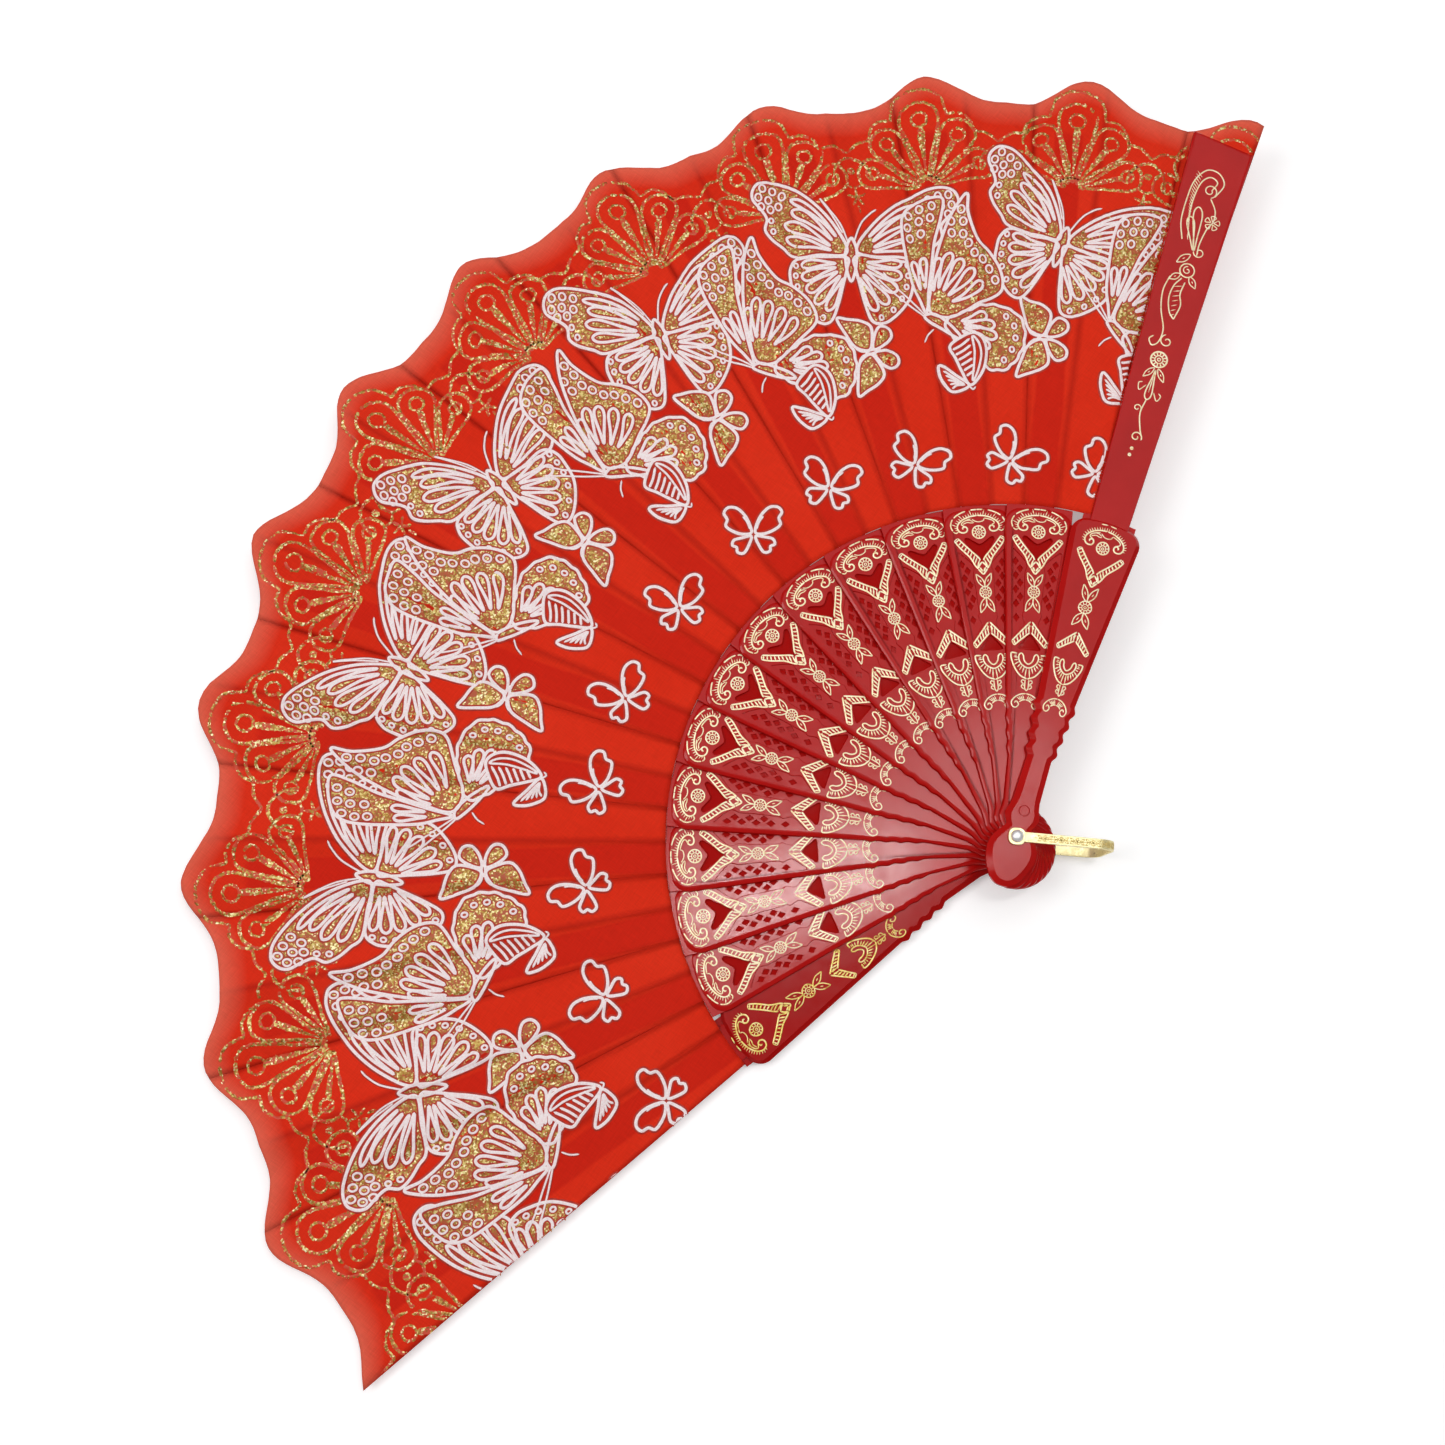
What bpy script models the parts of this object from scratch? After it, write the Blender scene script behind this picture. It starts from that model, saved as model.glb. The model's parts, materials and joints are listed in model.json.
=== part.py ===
"""Folding hand fan, opened: fourteen plastic blades on one rivet, a pleated leaf and a bail.

Metres, +Z up. The fan lies on its back with its front face up. The origin is on the pivot axis, at the flat
back of the rivet's cap. The fan opens about +Y: the rear guard points to -X and the front guard to +X.
"""
import math

import bmesh
import bpy
from mathutils import Matrix, Vector

MM = 0.001

# Opening, in degrees. Azimuth is counter-clockwise from +X, and blade 0 is the rear guard.
STICK_COUNT = 12
STICK_STEP = 11.0
FRONT_STEP = 12.1
BAIL_AZIMUTH = -58.7

# Stack along the pivot axis, in millimetres, from the bottom up.
RUNNING_GAP = 0.25
CAP_THICKNESS = 0.8
CAP_FLOOR = 0.35
STRAP_THICKNESS = 0.6
GUARD_THICKNESS = 2.2
STICK_THICKNESS = 1.05
REAR_BAR_THICKNESS = 1.2
FRONT_BAR_THICKNESS = 1.6
SLIP_THICKNESS = 0.45
SLIP_INSET = 0.05
LEAF_THICKNESS = 0.3
DOME_HEIGHT = 1.1

# Rivet and bail.
PIN_RADIUS = 1.3
PIN_CLEARANCE = 0.25
DOME_RADIUS = 1.7
CAP_RADIUS = 2.2
EYE_RADIUS = 2.3
EYE_PROUD = 0.04
STRAP_WIDTH = 2.7
BAIL_LENGTH = 27.3
BAIL_CORNER = 5.0

# Blade in plan: r is the distance from the pivot along the blade.
TAIL_SIDE = [(-13.8, 0.0), (-13.6, 1.7), (-12.0, 3.8), (-8.6, 5.7), (-5.0, 6.7), (-2.0, 6.4), (0.8, 4.8),
             (2.8, 3.5), (4.4, 4.3), (6.2, 4.7), (8.2, 4.1)]
NECK_START = 10.5
NECK_HALF = 3.4
NECK_FLARE = 0.25
WAVE_START = 22.4
WAVE_END = 39.2
WAVE_COUNT = 4
BODY_HALF = 5.3
STICK_WAVE = 0.35
GUARD_WAVE = 0.8
STICK_HEAD_HALF = 9.6
STICK_HEAD_TOP = 92.9
GUARD_HEAD_HALF = 9.9
GUARD_HEAD_TOP = 92.3
HEAD_CORNER = 4.6
HEAD_CROWN = 0.5

# Pockets in the face of an inner stick: a heart above a chevron, and a triangle below the next one.
POCKET_FLOOR = 0.35
HEART_BELOW_HEAD = 8.4
HEART_DIP = 2.5
HEART_HALF = 4.4
HEART_LENGTH = 7.2
HEART_SHOULDER = 0.8
HEART_LOBE = 0.8
TRIANGLE_FOOT = 52.1
TRIANGLE_LENGTH = 4.6
TRIANGLE_HALF = 3.5

# Slips and guard bars, which carry the leaf. Roots reach back under the heads, margins stop short of the rim.
SHOULDER_ROOT = 6.2
SHOULDER_HALF = 9.3
SLIP_HALF = 4.0
SLIP_TIP_HALF = 2.6
SLIP_MARGIN = 8.6
BAR_ROOT = 6.7
BAR_HALF = 5.3
BAR_TIP_HALF = 9.1
BAR_MARGIN = 2.2
BAR_SLANT = 0.9

# Leaf: an annular sector that starts a margin outside the heads, with a scalloped rim.
# The hems are the angles by which it passes the guards' axes.
# RAMP_START is the share of each gap that stays flat beside a blade.
LEAF_MARGIN = 0.7
LEAF_VALLEY = 215.6
LOBE_HEIGHT = 8.6
LOBE_SHARPNESS = 1.8
LOBE_PERIOD = 12.6
LOBE_AZIMUTH = 28.7
LEAF_SEAM = 0.3
REAR_HEM = 4.1
FRONT_HEM = 2.6
RAMP_START = 0.3

# Facets.
ROUND_STEPS = 24
CORNER_STEPS = 4
SMOOTH_STEPS = 2
WAVE_STEPS = 6
GORE_COLUMNS = 10
GORE_ROWS = 3


# ---- Places worked out from the sizes above -----------------------------------------------------------

def blade_azimuths():
    """Azimuth of each blade, rear guard first, with the opening centred on +Y."""
    opening = STICK_COUNT * STICK_STEP + FRONT_STEP
    first = 90 + opening / 2
    sticks = [first - STICK_STEP * k for k in range(STICK_COUNT + 1)]
    return sticks + [first - opening]


def blade_floors():
    """Height of the underside of each blade in the stack, rear guard first."""
    rear = CAP_THICKNESS + 2 * RUNNING_GAP + STRAP_THICKNESS
    first = rear + GUARD_THICKNESS + RUNNING_GAP
    pitch = STICK_THICKNESS + RUNNING_GAP
    return [rear] + [first + pitch * k for k in range(STICK_COUNT + 1)]


AZIMUTHS = blade_azimuths()
FLOORS = blade_floors()
LAST = STICK_COUNT + 1
STACK_TOP = FLOORS[LAST] + GUARD_THICKNESS
STRAP_LOW = CAP_THICKNESS + RUNNING_GAP
STRAP_HIGH = STACK_TOP + RUNNING_GAP
HOLE_RADIUS = PIN_RADIUS + PIN_CLEARANCE
LEAF_INNER = STICK_HEAD_TOP + LEAF_MARGIN
SHOULDER_START = STICK_HEAD_TOP - SHOULDER_ROOT
SLIP_END = LEAF_VALLEY - SLIP_MARGIN
BAR_START = GUARD_HEAD_TOP - BAR_ROOT
BAR_END = LEAF_VALLEY - BAR_MARGIN


def leaf_floor(k):
    """Underside of the leaf where it is glued on blade k, or under the front guard's bar."""
    if k == 0:
        return FLOORS[0] + REAR_BAR_THICKNESS + RUNNING_GAP
    slip_top = SLIP_INSET + SLIP_THICKNESS
    return FLOORS[min(k, STICK_COUNT)] + slip_top + RUNNING_GAP


def rim_radius(azimuth):
    """Radius of the leaf's rim: pointed lobes with shallow hollows between them."""
    turn = math.radians(360 * (azimuth - LOBE_AZIMUTH) / LOBE_PERIOD)
    return LEAF_VALLEY + LOBE_HEIGHT * ((1 + math.cos(turn)) / 2) ** LOBE_SHARPNESS


# ---- Outlines -------------------------------------------------------------------------------------------

def arc(centre, radius, start, end, steps):
    """Points of an arc, angles in degrees."""
    points = []
    for i in range(steps + 1):
        angle = math.radians(start + (end - start) * i / steps)
        points.append((centre[0] + radius * math.cos(angle), centre[1] + radius * math.sin(angle)))
    return points


def smooth(points, steps):
    """Catmull-Rom curve through points, with the given steps in each span."""
    ends = [points[0]] + points + [points[-1]]
    out = []
    for i in range(len(points) - 1):
        p0, p1, p2, p3 = (Vector(p) for p in ends[i:i + 4])
        for j in range(steps):
            t = j / steps
            out.append(tuple(0.5 * (2 * p1 + (p2 - p0) * t + (2 * p0 - 5 * p1 + 4 * p2 - p3) * t ** 2
                                    + (3 * p1 - p0 - 3 * p2 + p3) * t ** 3)))
    return out + [points[-1]]


def blade_side(head_half, head_top, wave):
    """One side of a blade, from the point of its tail to the crown of its head."""
    side = smooth(TAIL_SIDE + [(NECK_START, NECK_HALF + NECK_FLARE)], SMOOTH_STEPS)
    length = WAVE_END - WAVE_START
    samples = WAVE_COUNT * WAVE_STEPS
    for i in range(samples + 1):
        share = i / samples
        half = NECK_HALF + (BODY_HALF - NECK_HALF) * share
        ripple = wave * math.sin(math.pi * WAVE_COUNT * share) ** 2
        side.append((WAVE_START + length * share, half + ripple))
    corner = (head_top - HEAD_CROWN - HEAD_CORNER, head_half - HEAD_CORNER)
    side += [(x, y) for x, y in reversed(arc(corner, HEAD_CORNER, 0, 90, CORNER_STEPS))]
    return side + [(head_top, 0.0)]


def mirrored(side):
    """Closed outline from one side; a point on the axis is used once."""
    return side + [(x, -y) for x, y in reversed(side) if y > 0]


def heart():
    """Pocket with two shoulders and a dip, narrowing to a foot."""
    top = STICK_HEAD_TOP - HEART_BELOW_HEAD
    shoulder = [(top - HEART_SHOULDER, HEART_HALF), (top, HEART_HALF - HEART_LOBE)]
    return mirrored([(top - HEART_LENGTH, 0.0)] + shoulder + [(top - HEART_DIP, 0.0)])


def triangle():
    """Pocket that points outwards."""
    return mirrored([(TRIANGLE_FOOT + TRIANGLE_LENGTH, 0.0), (TRIANGLE_FOOT, TRIANGLE_HALF)])


def pivot_hole():
    """The hole for the rivet's pin."""
    return arc((0, 0), HOLE_RADIUS, 0, 360, ROUND_STEPS)[:-1]


def slip_outline():
    """Shoulder under the head, which ends short of the leaf, and the tapered slip beyond it."""
    reach = LEAF_INNER - LEAF_SEAM
    spread = math.degrees(math.asin(SHOULDER_HALF / reach))
    inner = math.degrees(math.asin(SLIP_HALF / reach))
    side = [(SHOULDER_START, SHOULDER_HALF - HEAD_CORNER), (SHOULDER_START + HEAD_CORNER / 2, SHOULDER_HALF)]
    side += arc((0, 0), reach, spread, inner, CORNER_STEPS)
    side += [(SLIP_END - SLIP_TIP_HALF, SLIP_TIP_HALF), (SLIP_END, 0.0)]
    return mirrored(side)


def bar_outline():
    """A guard's bar, which widens towards its slightly slanted end."""
    return [(BAR_START, BAR_HALF), (BAR_END + BAR_SLANT, BAR_TIP_HALF),
            (BAR_END - BAR_SLANT, -BAR_TIP_HALF), (BAR_START, -BAR_HALF)]


# ---- Building blocks ------------------------------------------------------------------------------------

def clear_scene():
    for obj in list(bpy.data.objects):
        bpy.data.objects.remove(obj, do_unlink=True)


def material(name, colour, roughness, metallic=0.0):
    mat = bpy.data.materials.new(name)
    mat.use_nodes = True
    shader = mat.node_tree.nodes["Principled BSDF"]
    shader.inputs["Base Color"].default_value = (*colour, 1.0)
    shader.inputs["Roughness"].default_value = roughness
    shader.inputs["Metallic"].default_value = metallic
    return mat


def link(name, mesh, mat):
    """New object in the fan's collection."""
    obj = bpy.data.objects.new(name, mesh)
    if not mesh.materials:
        mesh.materials.append(mat)
    PART.objects.link(obj)
    return obj


def weld(mesh):
    """Join the loose caps of a converted curve and turn its faces outwards."""
    bm = bmesh.new()
    bm.from_mesh(mesh)
    bmesh.ops.remove_doubles(bm, verts=bm.verts, dist=1e-7)
    bmesh.ops.recalc_face_normals(bm, faces=bm.faces)
    bm.to_mesh(mesh)
    bm.free()
    return mesh


def baked(obj):
    """The evaluated mesh of an object, which is then removed."""
    bpy.context.view_layer.update()
    evaluated = obj.evaluated_get(bpy.context.evaluated_depsgraph_get())
    mesh = bpy.data.meshes.new_from_object(evaluated)
    bpy.data.objects.remove(obj, do_unlink=True)
    return mesh


def plate(name, loops, floor, thickness):
    """Flat plate in millimetres: the first loop is its outline and the others are holes."""
    curve = bpy.data.curves.new(name, "CURVE")
    curve.dimensions = "2D"
    curve.fill_mode = "BOTH"
    curve.extrude = thickness / 2 * MM
    for loop in loops:
        spline = curve.splines.new("POLY")
        spline.points.add(len(loop) - 1)
        for point, (x, y) in zip(spline.points, loop):
            point.co = (x * MM, y * MM, 0.0, 1.0)
        spline.use_cyclic_u = True
    obj = bpy.data.objects.new(name, curve)
    PART.objects.link(obj)
    mesh = baked(obj)
    mesh.transform(Matrix.Translation((0, 0, (floor + thickness / 2) * MM)))
    return weld(mesh)


def boolean(mesh, tool, operation):
    """Mesh combined with a tool mesh by an exact Boolean."""
    base = bpy.data.objects.new("base", mesh)
    cutter = bpy.data.objects.new("cutter", tool)
    PART.objects.link(base)
    CUTTERS.objects.link(cutter)
    modifier = base.modifiers.new("combine", "BOOLEAN")
    modifier.operation = operation
    modifier.object = cutter
    result = baked(base)
    bpy.data.objects.remove(cutter, do_unlink=True)
    return result


def turned(name, profile, mat):
    """Solid of revolution about the pivot axis; the profile runs from the axis down the outside."""
    mesh = bpy.data.meshes.new(name)
    bm = bmesh.new()
    verts = [bm.verts.new((r * MM, 0.0, z * MM)) for r, z in profile]
    for a, b in zip(verts, verts[1:]):
        bm.edges.new((a, b))
    bm.to_mesh(mesh)
    bm.free()
    obj = link(name, mesh, mat)
    screw = obj.modifiers.new("turn", "SCREW")
    screw.steps = ROUND_STEPS
    screw.render_steps = ROUND_STEPS
    screw.use_merge_vertices = True
    screw.merge_threshold = 0.00001
    return obj


# ---- Pieces ---------------------------------------------------------------------------------------------

def guard_mesh(bar_thickness):
    """Guard: head, waved neck and tail in one plate, with the thinner bar beyond the head."""
    side = blade_side(GUARD_HEAD_HALF, GUARD_HEAD_TOP, GUARD_WAVE)
    body = plate("guard", [mirrored(side), pivot_hole()], 0.0, GUARD_THICKNESS)
    bar = plate("bar", [bar_outline()], SLIP_INSET, bar_thickness - SLIP_INSET)
    return boolean(body, bar, "UNION")


def stick_mesh():
    """Inner stick: blade with two pockets, and the thin shoulder and slip beyond its head."""
    side = blade_side(STICK_HEAD_HALF, STICK_HEAD_TOP, STICK_WAVE)
    body = plate("stick", [mirrored(side), pivot_hole()], 0.0, STICK_THICKNESS)
    for pocket in (heart(), triangle()):
        body = boolean(body, plate("pocket", [pocket], POCKET_FLOOR, STICK_THICKNESS), "DIFFERENCE")
    slip = plate("slip", [slip_outline()], SLIP_INSET, SLIP_THICKNESS)
    return boolean(body, slip, "UNION")


def make_blades():
    stick = stick_mesh()
    meshes = [guard_mesh(REAR_BAR_THICKNESS)] + [stick] * STICK_COUNT + [guard_mesh(FRONT_BAR_THICKNESS)]
    names = ["rear_guard"] + ["stick_%02d" % k for k in range(1, LAST)] + ["front_guard"]
    for name, mesh, azimuth, floor in zip(names, meshes, AZIMUTHS, FLOORS):
        obj = link(name, mesh, RED_PLASTIC)
        obj.location.z = floor * MM
        obj.rotation_euler.z = math.radians(azimuth)


def gore_point(k, across, out):
    """Point on the underside of gore k: across runs from blade k - 1 to blade k, out from hub to rim."""
    start, end = AZIMUTHS[k - 1], AZIMUTHS[k]
    first = start + REAR_HEM if k == 1 else start
    last = end - FRONT_HEM if k == LAST else end
    azimuth = first + (last - first) * across
    r = LEAF_INNER + (rim_radius(azimuth) - LEAF_INNER) * out
    seam = math.degrees(LEAF_SEAM / 2 / r)
    azimuth += seam * (2 * across - 1)
    share = (start - azimuth) / (start - end)
    rise = min(max((share - RAMP_START) / (1 - 2 * RAMP_START), 0.0), 1.0)
    height = leaf_floor(k - 1) + (leaf_floor(k) - leaf_floor(k - 1)) * rise
    angle = math.radians(azimuth)
    return Vector((r * math.cos(angle), r * math.sin(angle), height)) * MM


def make_leaf():
    """Thirteen gores, each hanging from one blade's centre line to the next one's."""
    for k in range(1, LAST + 1):
        mesh = bpy.data.meshes.new("leaf_%02d" % k)
        bm = bmesh.new()
        bmesh.ops.create_grid(bm, x_segments=GORE_COLUMNS, y_segments=GORE_ROWS, size=0.5)
        for vert in bm.verts:
            vert.co = gore_point(k, vert.co.x + 0.5, vert.co.y + 0.5)
        bmesh.ops.recalc_face_normals(bm, faces=bm.faces)
        if sum(face.normal.z for face in bm.faces) < 0:
            bmesh.ops.reverse_faces(bm, faces=bm.faces)
        bm.to_mesh(mesh)
        bm.free()
        obj = link(mesh.name, mesh, RED_CLOTH)
        solid = obj.modifiers.new("thickness", "SOLIDIFY")
        solid.thickness = LEAF_THICKNESS * MM
        solid.offset = 1.0


def make_rivet():
    """Pin with a domed front head, and the cap pressed on behind."""
    dome_base = STRAP_HIGH + STRAP_THICKNESS + RUNNING_GAP
    dome = [(DOME_RADIUS * math.sin(a), dome_base + DOME_HEIGHT * math.cos(a))
            for a in (math.radians(15 * i) for i in range(7))]
    pin_end = CAP_FLOOR + RUNNING_GAP
    turned("rivet_pin", dome + [(PIN_RADIUS, dome_base), (PIN_RADIUS, pin_end), (0.0, pin_end)], SILVER)
    turned("rivet_cap", [(0.0, CAP_FLOOR), (HOLE_RADIUS, CAP_FLOOR), (HOLE_RADIUS, CAP_THICKNESS),
                         (CAP_RADIUS, CAP_THICKNESS), (CAP_RADIUS, 0.0), (0.0, 0.0)], SILVER)


def bail_profile():
    """Side view of the strap: two arms joined by a bend with round corners."""
    low, high = STRAP_LOW, STRAP_HIGH + STRAP_THICKNESS
    centre = BAIL_LENGTH - BAIL_CORNER
    inner = BAIL_CORNER - STRAP_THICKNESS
    outside = [(0.0, low)] + arc((centre, low + BAIL_CORNER), BAIL_CORNER, -90, 0, CORNER_STEPS)
    outside += arc((centre, high - BAIL_CORNER), BAIL_CORNER, 0, 90, CORNER_STEPS) + [(0.0, high)]
    inside = [(0.0, high - STRAP_THICKNESS)] + arc((centre, high - BAIL_CORNER), inner, 90, 0, CORNER_STEPS)
    inside += arc((centre, low + BAIL_CORNER), inner, 0, -90, CORNER_STEPS) + [(0.0, low + STRAP_THICKNESS)]
    return outside + inside


def eye(floor):
    """Disc at the end of one arm, a little proud of the strap on both faces."""
    loop = arc((0, 0), EYE_RADIUS, 0, 360, ROUND_STEPS)[:-1]
    return plate("eye", [loop], floor - EYE_PROUD, STRAP_THICKNESS + 2 * EYE_PROUD)


def make_bail():
    """Bent strap that swings on the rivet, with an eye on each side of the stack."""
    strap = plate("strap", [bail_profile()], -STRAP_WIDTH / 2, STRAP_WIDTH)
    strap.transform(Matrix.Rotation(math.radians(90), 4, "X"))
    mesh = boolean(strap, eye(STRAP_LOW), "UNION")
    mesh = boolean(mesh, eye(STRAP_HIGH), "UNION")
    reach = STACK_TOP * 2
    bore = plate("bore", [pivot_hole()], -reach / 2, reach * 2)
    obj = link("bail", boolean(mesh, bore, "DIFFERENCE"), GOLD)
    obj.rotation_euler.z = math.radians(BAIL_AZIMUTH)


def new_collection(name):
    collection = bpy.data.collections.new(name)
    bpy.context.scene.collection.children.link(collection)
    return collection


clear_scene()
PART = new_collection("hand_fan")
CUTTERS = new_collection("cutters")
RED_PLASTIC = material("red_plastic", (0.50, 0.025, 0.03), 0.25)
RED_CLOTH = material("red_cloth", (0.60, 0.03, 0.015), 0.8)
SILVER = material("silver", (0.75, 0.76, 0.78), 0.25, 1.0)
GOLD = material("gold", (0.80, 0.60, 0.22), 0.3, 1.0)
make_blades()
make_leaf()
make_rivet()
make_bail()
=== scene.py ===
"""Scene for a folding hand fan, opened: dressed blades, a pleated printed leaf, a rivet and a bail.

Lengths are in millimetres until a mesh is made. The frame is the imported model's: metres, +Z up, the pivot
axis at the origin. "Along" is the distance from the pivot, and "across" is measured clockwise from a
blade's axis.
"""
import json
import math

import bpy
import numpy as np
from mathutils import Matrix, Vector
from mathutils.geometry import delaunay_2d_cdt


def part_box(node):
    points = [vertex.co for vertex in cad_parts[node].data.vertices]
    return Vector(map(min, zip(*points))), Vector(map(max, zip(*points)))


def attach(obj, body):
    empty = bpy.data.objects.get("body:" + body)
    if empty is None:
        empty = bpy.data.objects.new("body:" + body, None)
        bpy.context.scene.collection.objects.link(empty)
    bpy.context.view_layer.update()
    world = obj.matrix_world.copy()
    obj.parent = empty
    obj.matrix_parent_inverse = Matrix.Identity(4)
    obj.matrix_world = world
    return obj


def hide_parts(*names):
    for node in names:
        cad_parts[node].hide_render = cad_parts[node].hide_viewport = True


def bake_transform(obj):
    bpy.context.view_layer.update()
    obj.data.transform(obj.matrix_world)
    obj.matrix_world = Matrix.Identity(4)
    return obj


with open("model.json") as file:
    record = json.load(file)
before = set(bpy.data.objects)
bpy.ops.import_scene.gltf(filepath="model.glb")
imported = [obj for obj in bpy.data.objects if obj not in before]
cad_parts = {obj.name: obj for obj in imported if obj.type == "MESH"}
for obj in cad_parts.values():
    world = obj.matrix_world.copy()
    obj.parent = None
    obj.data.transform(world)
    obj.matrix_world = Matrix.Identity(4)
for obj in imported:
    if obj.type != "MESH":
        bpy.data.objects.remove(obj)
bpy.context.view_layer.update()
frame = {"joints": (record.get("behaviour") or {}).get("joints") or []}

MM = 0.001
rng = np.random.default_rng(20)

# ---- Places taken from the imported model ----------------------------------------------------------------

BLADES = ["rear_guard"] + ["stick_%02d" % k for k in range(1, 13)] + ["front_guard"]
LAST = len(BLADES) - 1


def blade_azimuths():
    """Azimuth of each blade from the hinges' travel, with the opening centred on +Y."""
    travel = {joint["child"]: joint["range_deg"][1] - joint["range_deg"][0] for joint in frame["joints"]}
    steps = [travel[name] for name in BLADES[1:]]
    return [90 + sum(steps) / 2 - sum(steps[:k]) for k in range(len(BLADES))]


AZIMUTHS = blade_azimuths()
FLOORS = [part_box(name)[0].z / MM for name in BLADES]
GUARD_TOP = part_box("front_guard")[1].z / MM - FLOORS[LAST]
DOME_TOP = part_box("rivet_pin")[1].z / MM
BAIL_LOW, BAIL_HIGH = (corner.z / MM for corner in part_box("bail"))

# Blade outlines, as in the part's source.
STICK_THICKNESS = 1.05
TAIL_SIDE = [(-13.8, 0.0), (-13.6, 1.7), (-12.0, 3.8), (-8.6, 5.7), (-5.0, 6.7), (-2.0, 6.4), (0.8, 4.8),
             (2.8, 3.5), (4.4, 4.3), (6.2, 4.7), (8.2, 4.1)]
NECK_START = 10.5
NECK_HALF = 3.4
NECK_FLARE = 0.25
WAVE_START = 22.4
WAVE_END = 39.2
WAVE_COUNT = 4
WAVE_STEPS = 10
BODY_HALF = 5.3
STICK_WAVE = 0.35
GUARD_WAVE = 0.8
STICK_HEAD_HALF = 9.6
STICK_HEAD_TOP = 92.9
GUARD_HEAD_HALF = 9.9
GUARD_HEAD_TOP = 92.3
HEAD_CORNER = 4.6
HEAD_CROWN = 0.5
HEART = [(77.3, 0.0), (83.7, 4.4), (84.5, 3.6), (82.0, 0.0)]
TRIANGLE = [(56.7, 0.0), (52.1, 3.5)]
HOLE_RADIUS = 1.55
SLIP_LOW = 0.05
SLIP_HIGH = 0.5
SLIP_HALF = 4.0
SLIP_TIP_HALF = 2.6
SLIP_END = 207.0
SHOULDER_START = 86.7
SHOULDER_HALF = 9.3
BAR_START = 85.6
BAR_END = 213.4
BAR_HALF = 5.3
BAR_TIP_HALF = 9.1
BAR_SLANT = 0.9
REAR_BAR_TOP = 1.2
FRONT_BAR_TOP = 1.6

# Leaf.
LEAF_INNER = 93.6
LEAF_VALLEY = 215.6
LOBE_HEIGHT = 8.6
LOBE_SHARPNESS = 1.8
LOBE_PERIOD = 12.6
LOBE_AZIMUTH = 28.7
REAR_HEM = 4.1
FRONT_HEM = 2.6
FOLD = 2.75
CLOTH = 0.12
PRINT_HEIGHT = 0.2
CLOTH_TOP = 0.66
LAST_CLOTH_TOP = 0.65
REAR_CLOTH_TOP = 3.28
FRONT_CLOTH_TOP = 19.98


def rim_radius(azimuth):
    """Radius of the leaf's rim: pointed lobes with shallow hollows between them."""
    turn = np.radians(360 * (azimuth - LOBE_AZIMUTH) / LOBE_PERIOD)
    return LEAF_VALLEY + LOBE_HEIGHT * ((1 + np.cos(turn)) / 2) ** LOBE_SHARPNESS


# ---- Curves in plan ------------------------------------------------------------------------------------

def smooth_curve(points, closed=False, step=0.6):
    """Catmull-Rom curve through points, sampled about every step."""
    p = np.array(points, float)
    if closed:
        ends = np.vstack([p[-1:], p, p[:2]])
    else:
        ends = np.vstack([2 * p[:1] - p[1:2], p, 2 * p[-1:] - p[-2:-1]])
    out = []
    for i in range(len(ends) - 3):
        a, b, c, d = ends[i:i + 4]
        n = max(2, int(math.ceil(np.linalg.norm(c - b) / step)))
        t = (np.arange(n) / n)[:, None]
        out.append(0.5 * (2 * b + (c - a) * t + (2 * a - 5 * b + 4 * c - d) * t ** 2
                          + (3 * b - a - 3 * c + d) * t ** 3))
    if not closed:
        out.append(p[-1:])
    return np.vstack(out)


def directions(line, closed=True):
    """Unit tangents at a line's points."""
    steps = np.roll(line, -1, 0) - np.roll(line, 1, 0) if closed else np.gradient(line, axis=0)
    return steps / np.maximum(np.linalg.norm(steps, axis=1), 1e-9)[:, None]


def left_of(tangents):
    """Unit normals on the left of tangents."""
    return np.stack([-tangents[:, 1], tangents[:, 0]], 1)


def spread(line):
    """Distance along a line at each of its points."""
    return np.concatenate([[0], np.cumsum(np.linalg.norm(np.diff(line, axis=0), axis=1))])


def arc(centre, radius, start, end, steps):
    """Points of an arc, angles in degrees; radius is one number or two for an ellipse."""
    rx, ry = radius if isinstance(radius, tuple) else (radius, radius)
    angles = np.radians(np.linspace(start, end, steps + 1))
    return np.stack([centre[0] + rx * np.cos(angles), centre[1] + ry * np.sin(angles)], 1)


SIDES = (1, -1)


def flipped(points, side):
    """Points on one side of the axis they are drawn along, or on the other."""
    return [(x, side * y) for x, y in points]


def ring(centre, radius, steps=12):
    """Closed round or oval loop."""
    return arc(centre, radius, 0, 360, steps)[:-1]


def spiral(centre, outer, inner, start, turn, steps=18):
    """Spiral from its outside in; start and turn are in degrees."""
    radius = np.linspace(outer, inner, steps + 1)
    angle = np.radians(np.linspace(start, start + turn, steps + 1))
    return np.stack([centre[0] + radius * np.cos(angle), centre[1] + radius * np.sin(angle)], 1)


def turned(points, degrees, shift=(0.0, 0.0)):
    """Points turned counter-clockwise and shifted."""
    c, s = math.cos(math.radians(degrees)), math.sin(math.radians(degrees))
    return np.array(points, float) @ np.array([[c, s], [-s, c]]) + shift


def drawn(root, tip, shape):
    """A shape drawn from (0, 0) at root to (1, 0) at tip; its second numbers are millimetres to the left."""
    root, tip = np.array(root, float), np.array(tip, float)
    along = tip - root
    normal = np.array([-along[1], along[0]]) / np.linalg.norm(along)
    return [root + along * x + normal * y for x, y in shape]


PETAL = [(0, 0), (0.3, 0.2), (0.55, 0.38), (0.76, 0.5), (0.92, 0.4), (1, 0)]
LENS = [(0, 0), (0.3, 0.42), (0.6, 0.45), (0.85, 0.2), (1, 0)]


def petal(root, tip, width, bend=0.0):
    """Closed drop with its point at root and a round end at tip; bend pushes its middle sideways."""
    side = PETAL + [(x, -y) for x, y in reversed(PETAL[1:-1])]
    return drawn(root, tip, [(x, width * y + bend * 4 * x * (1 - x)) for x, y in side])


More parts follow.
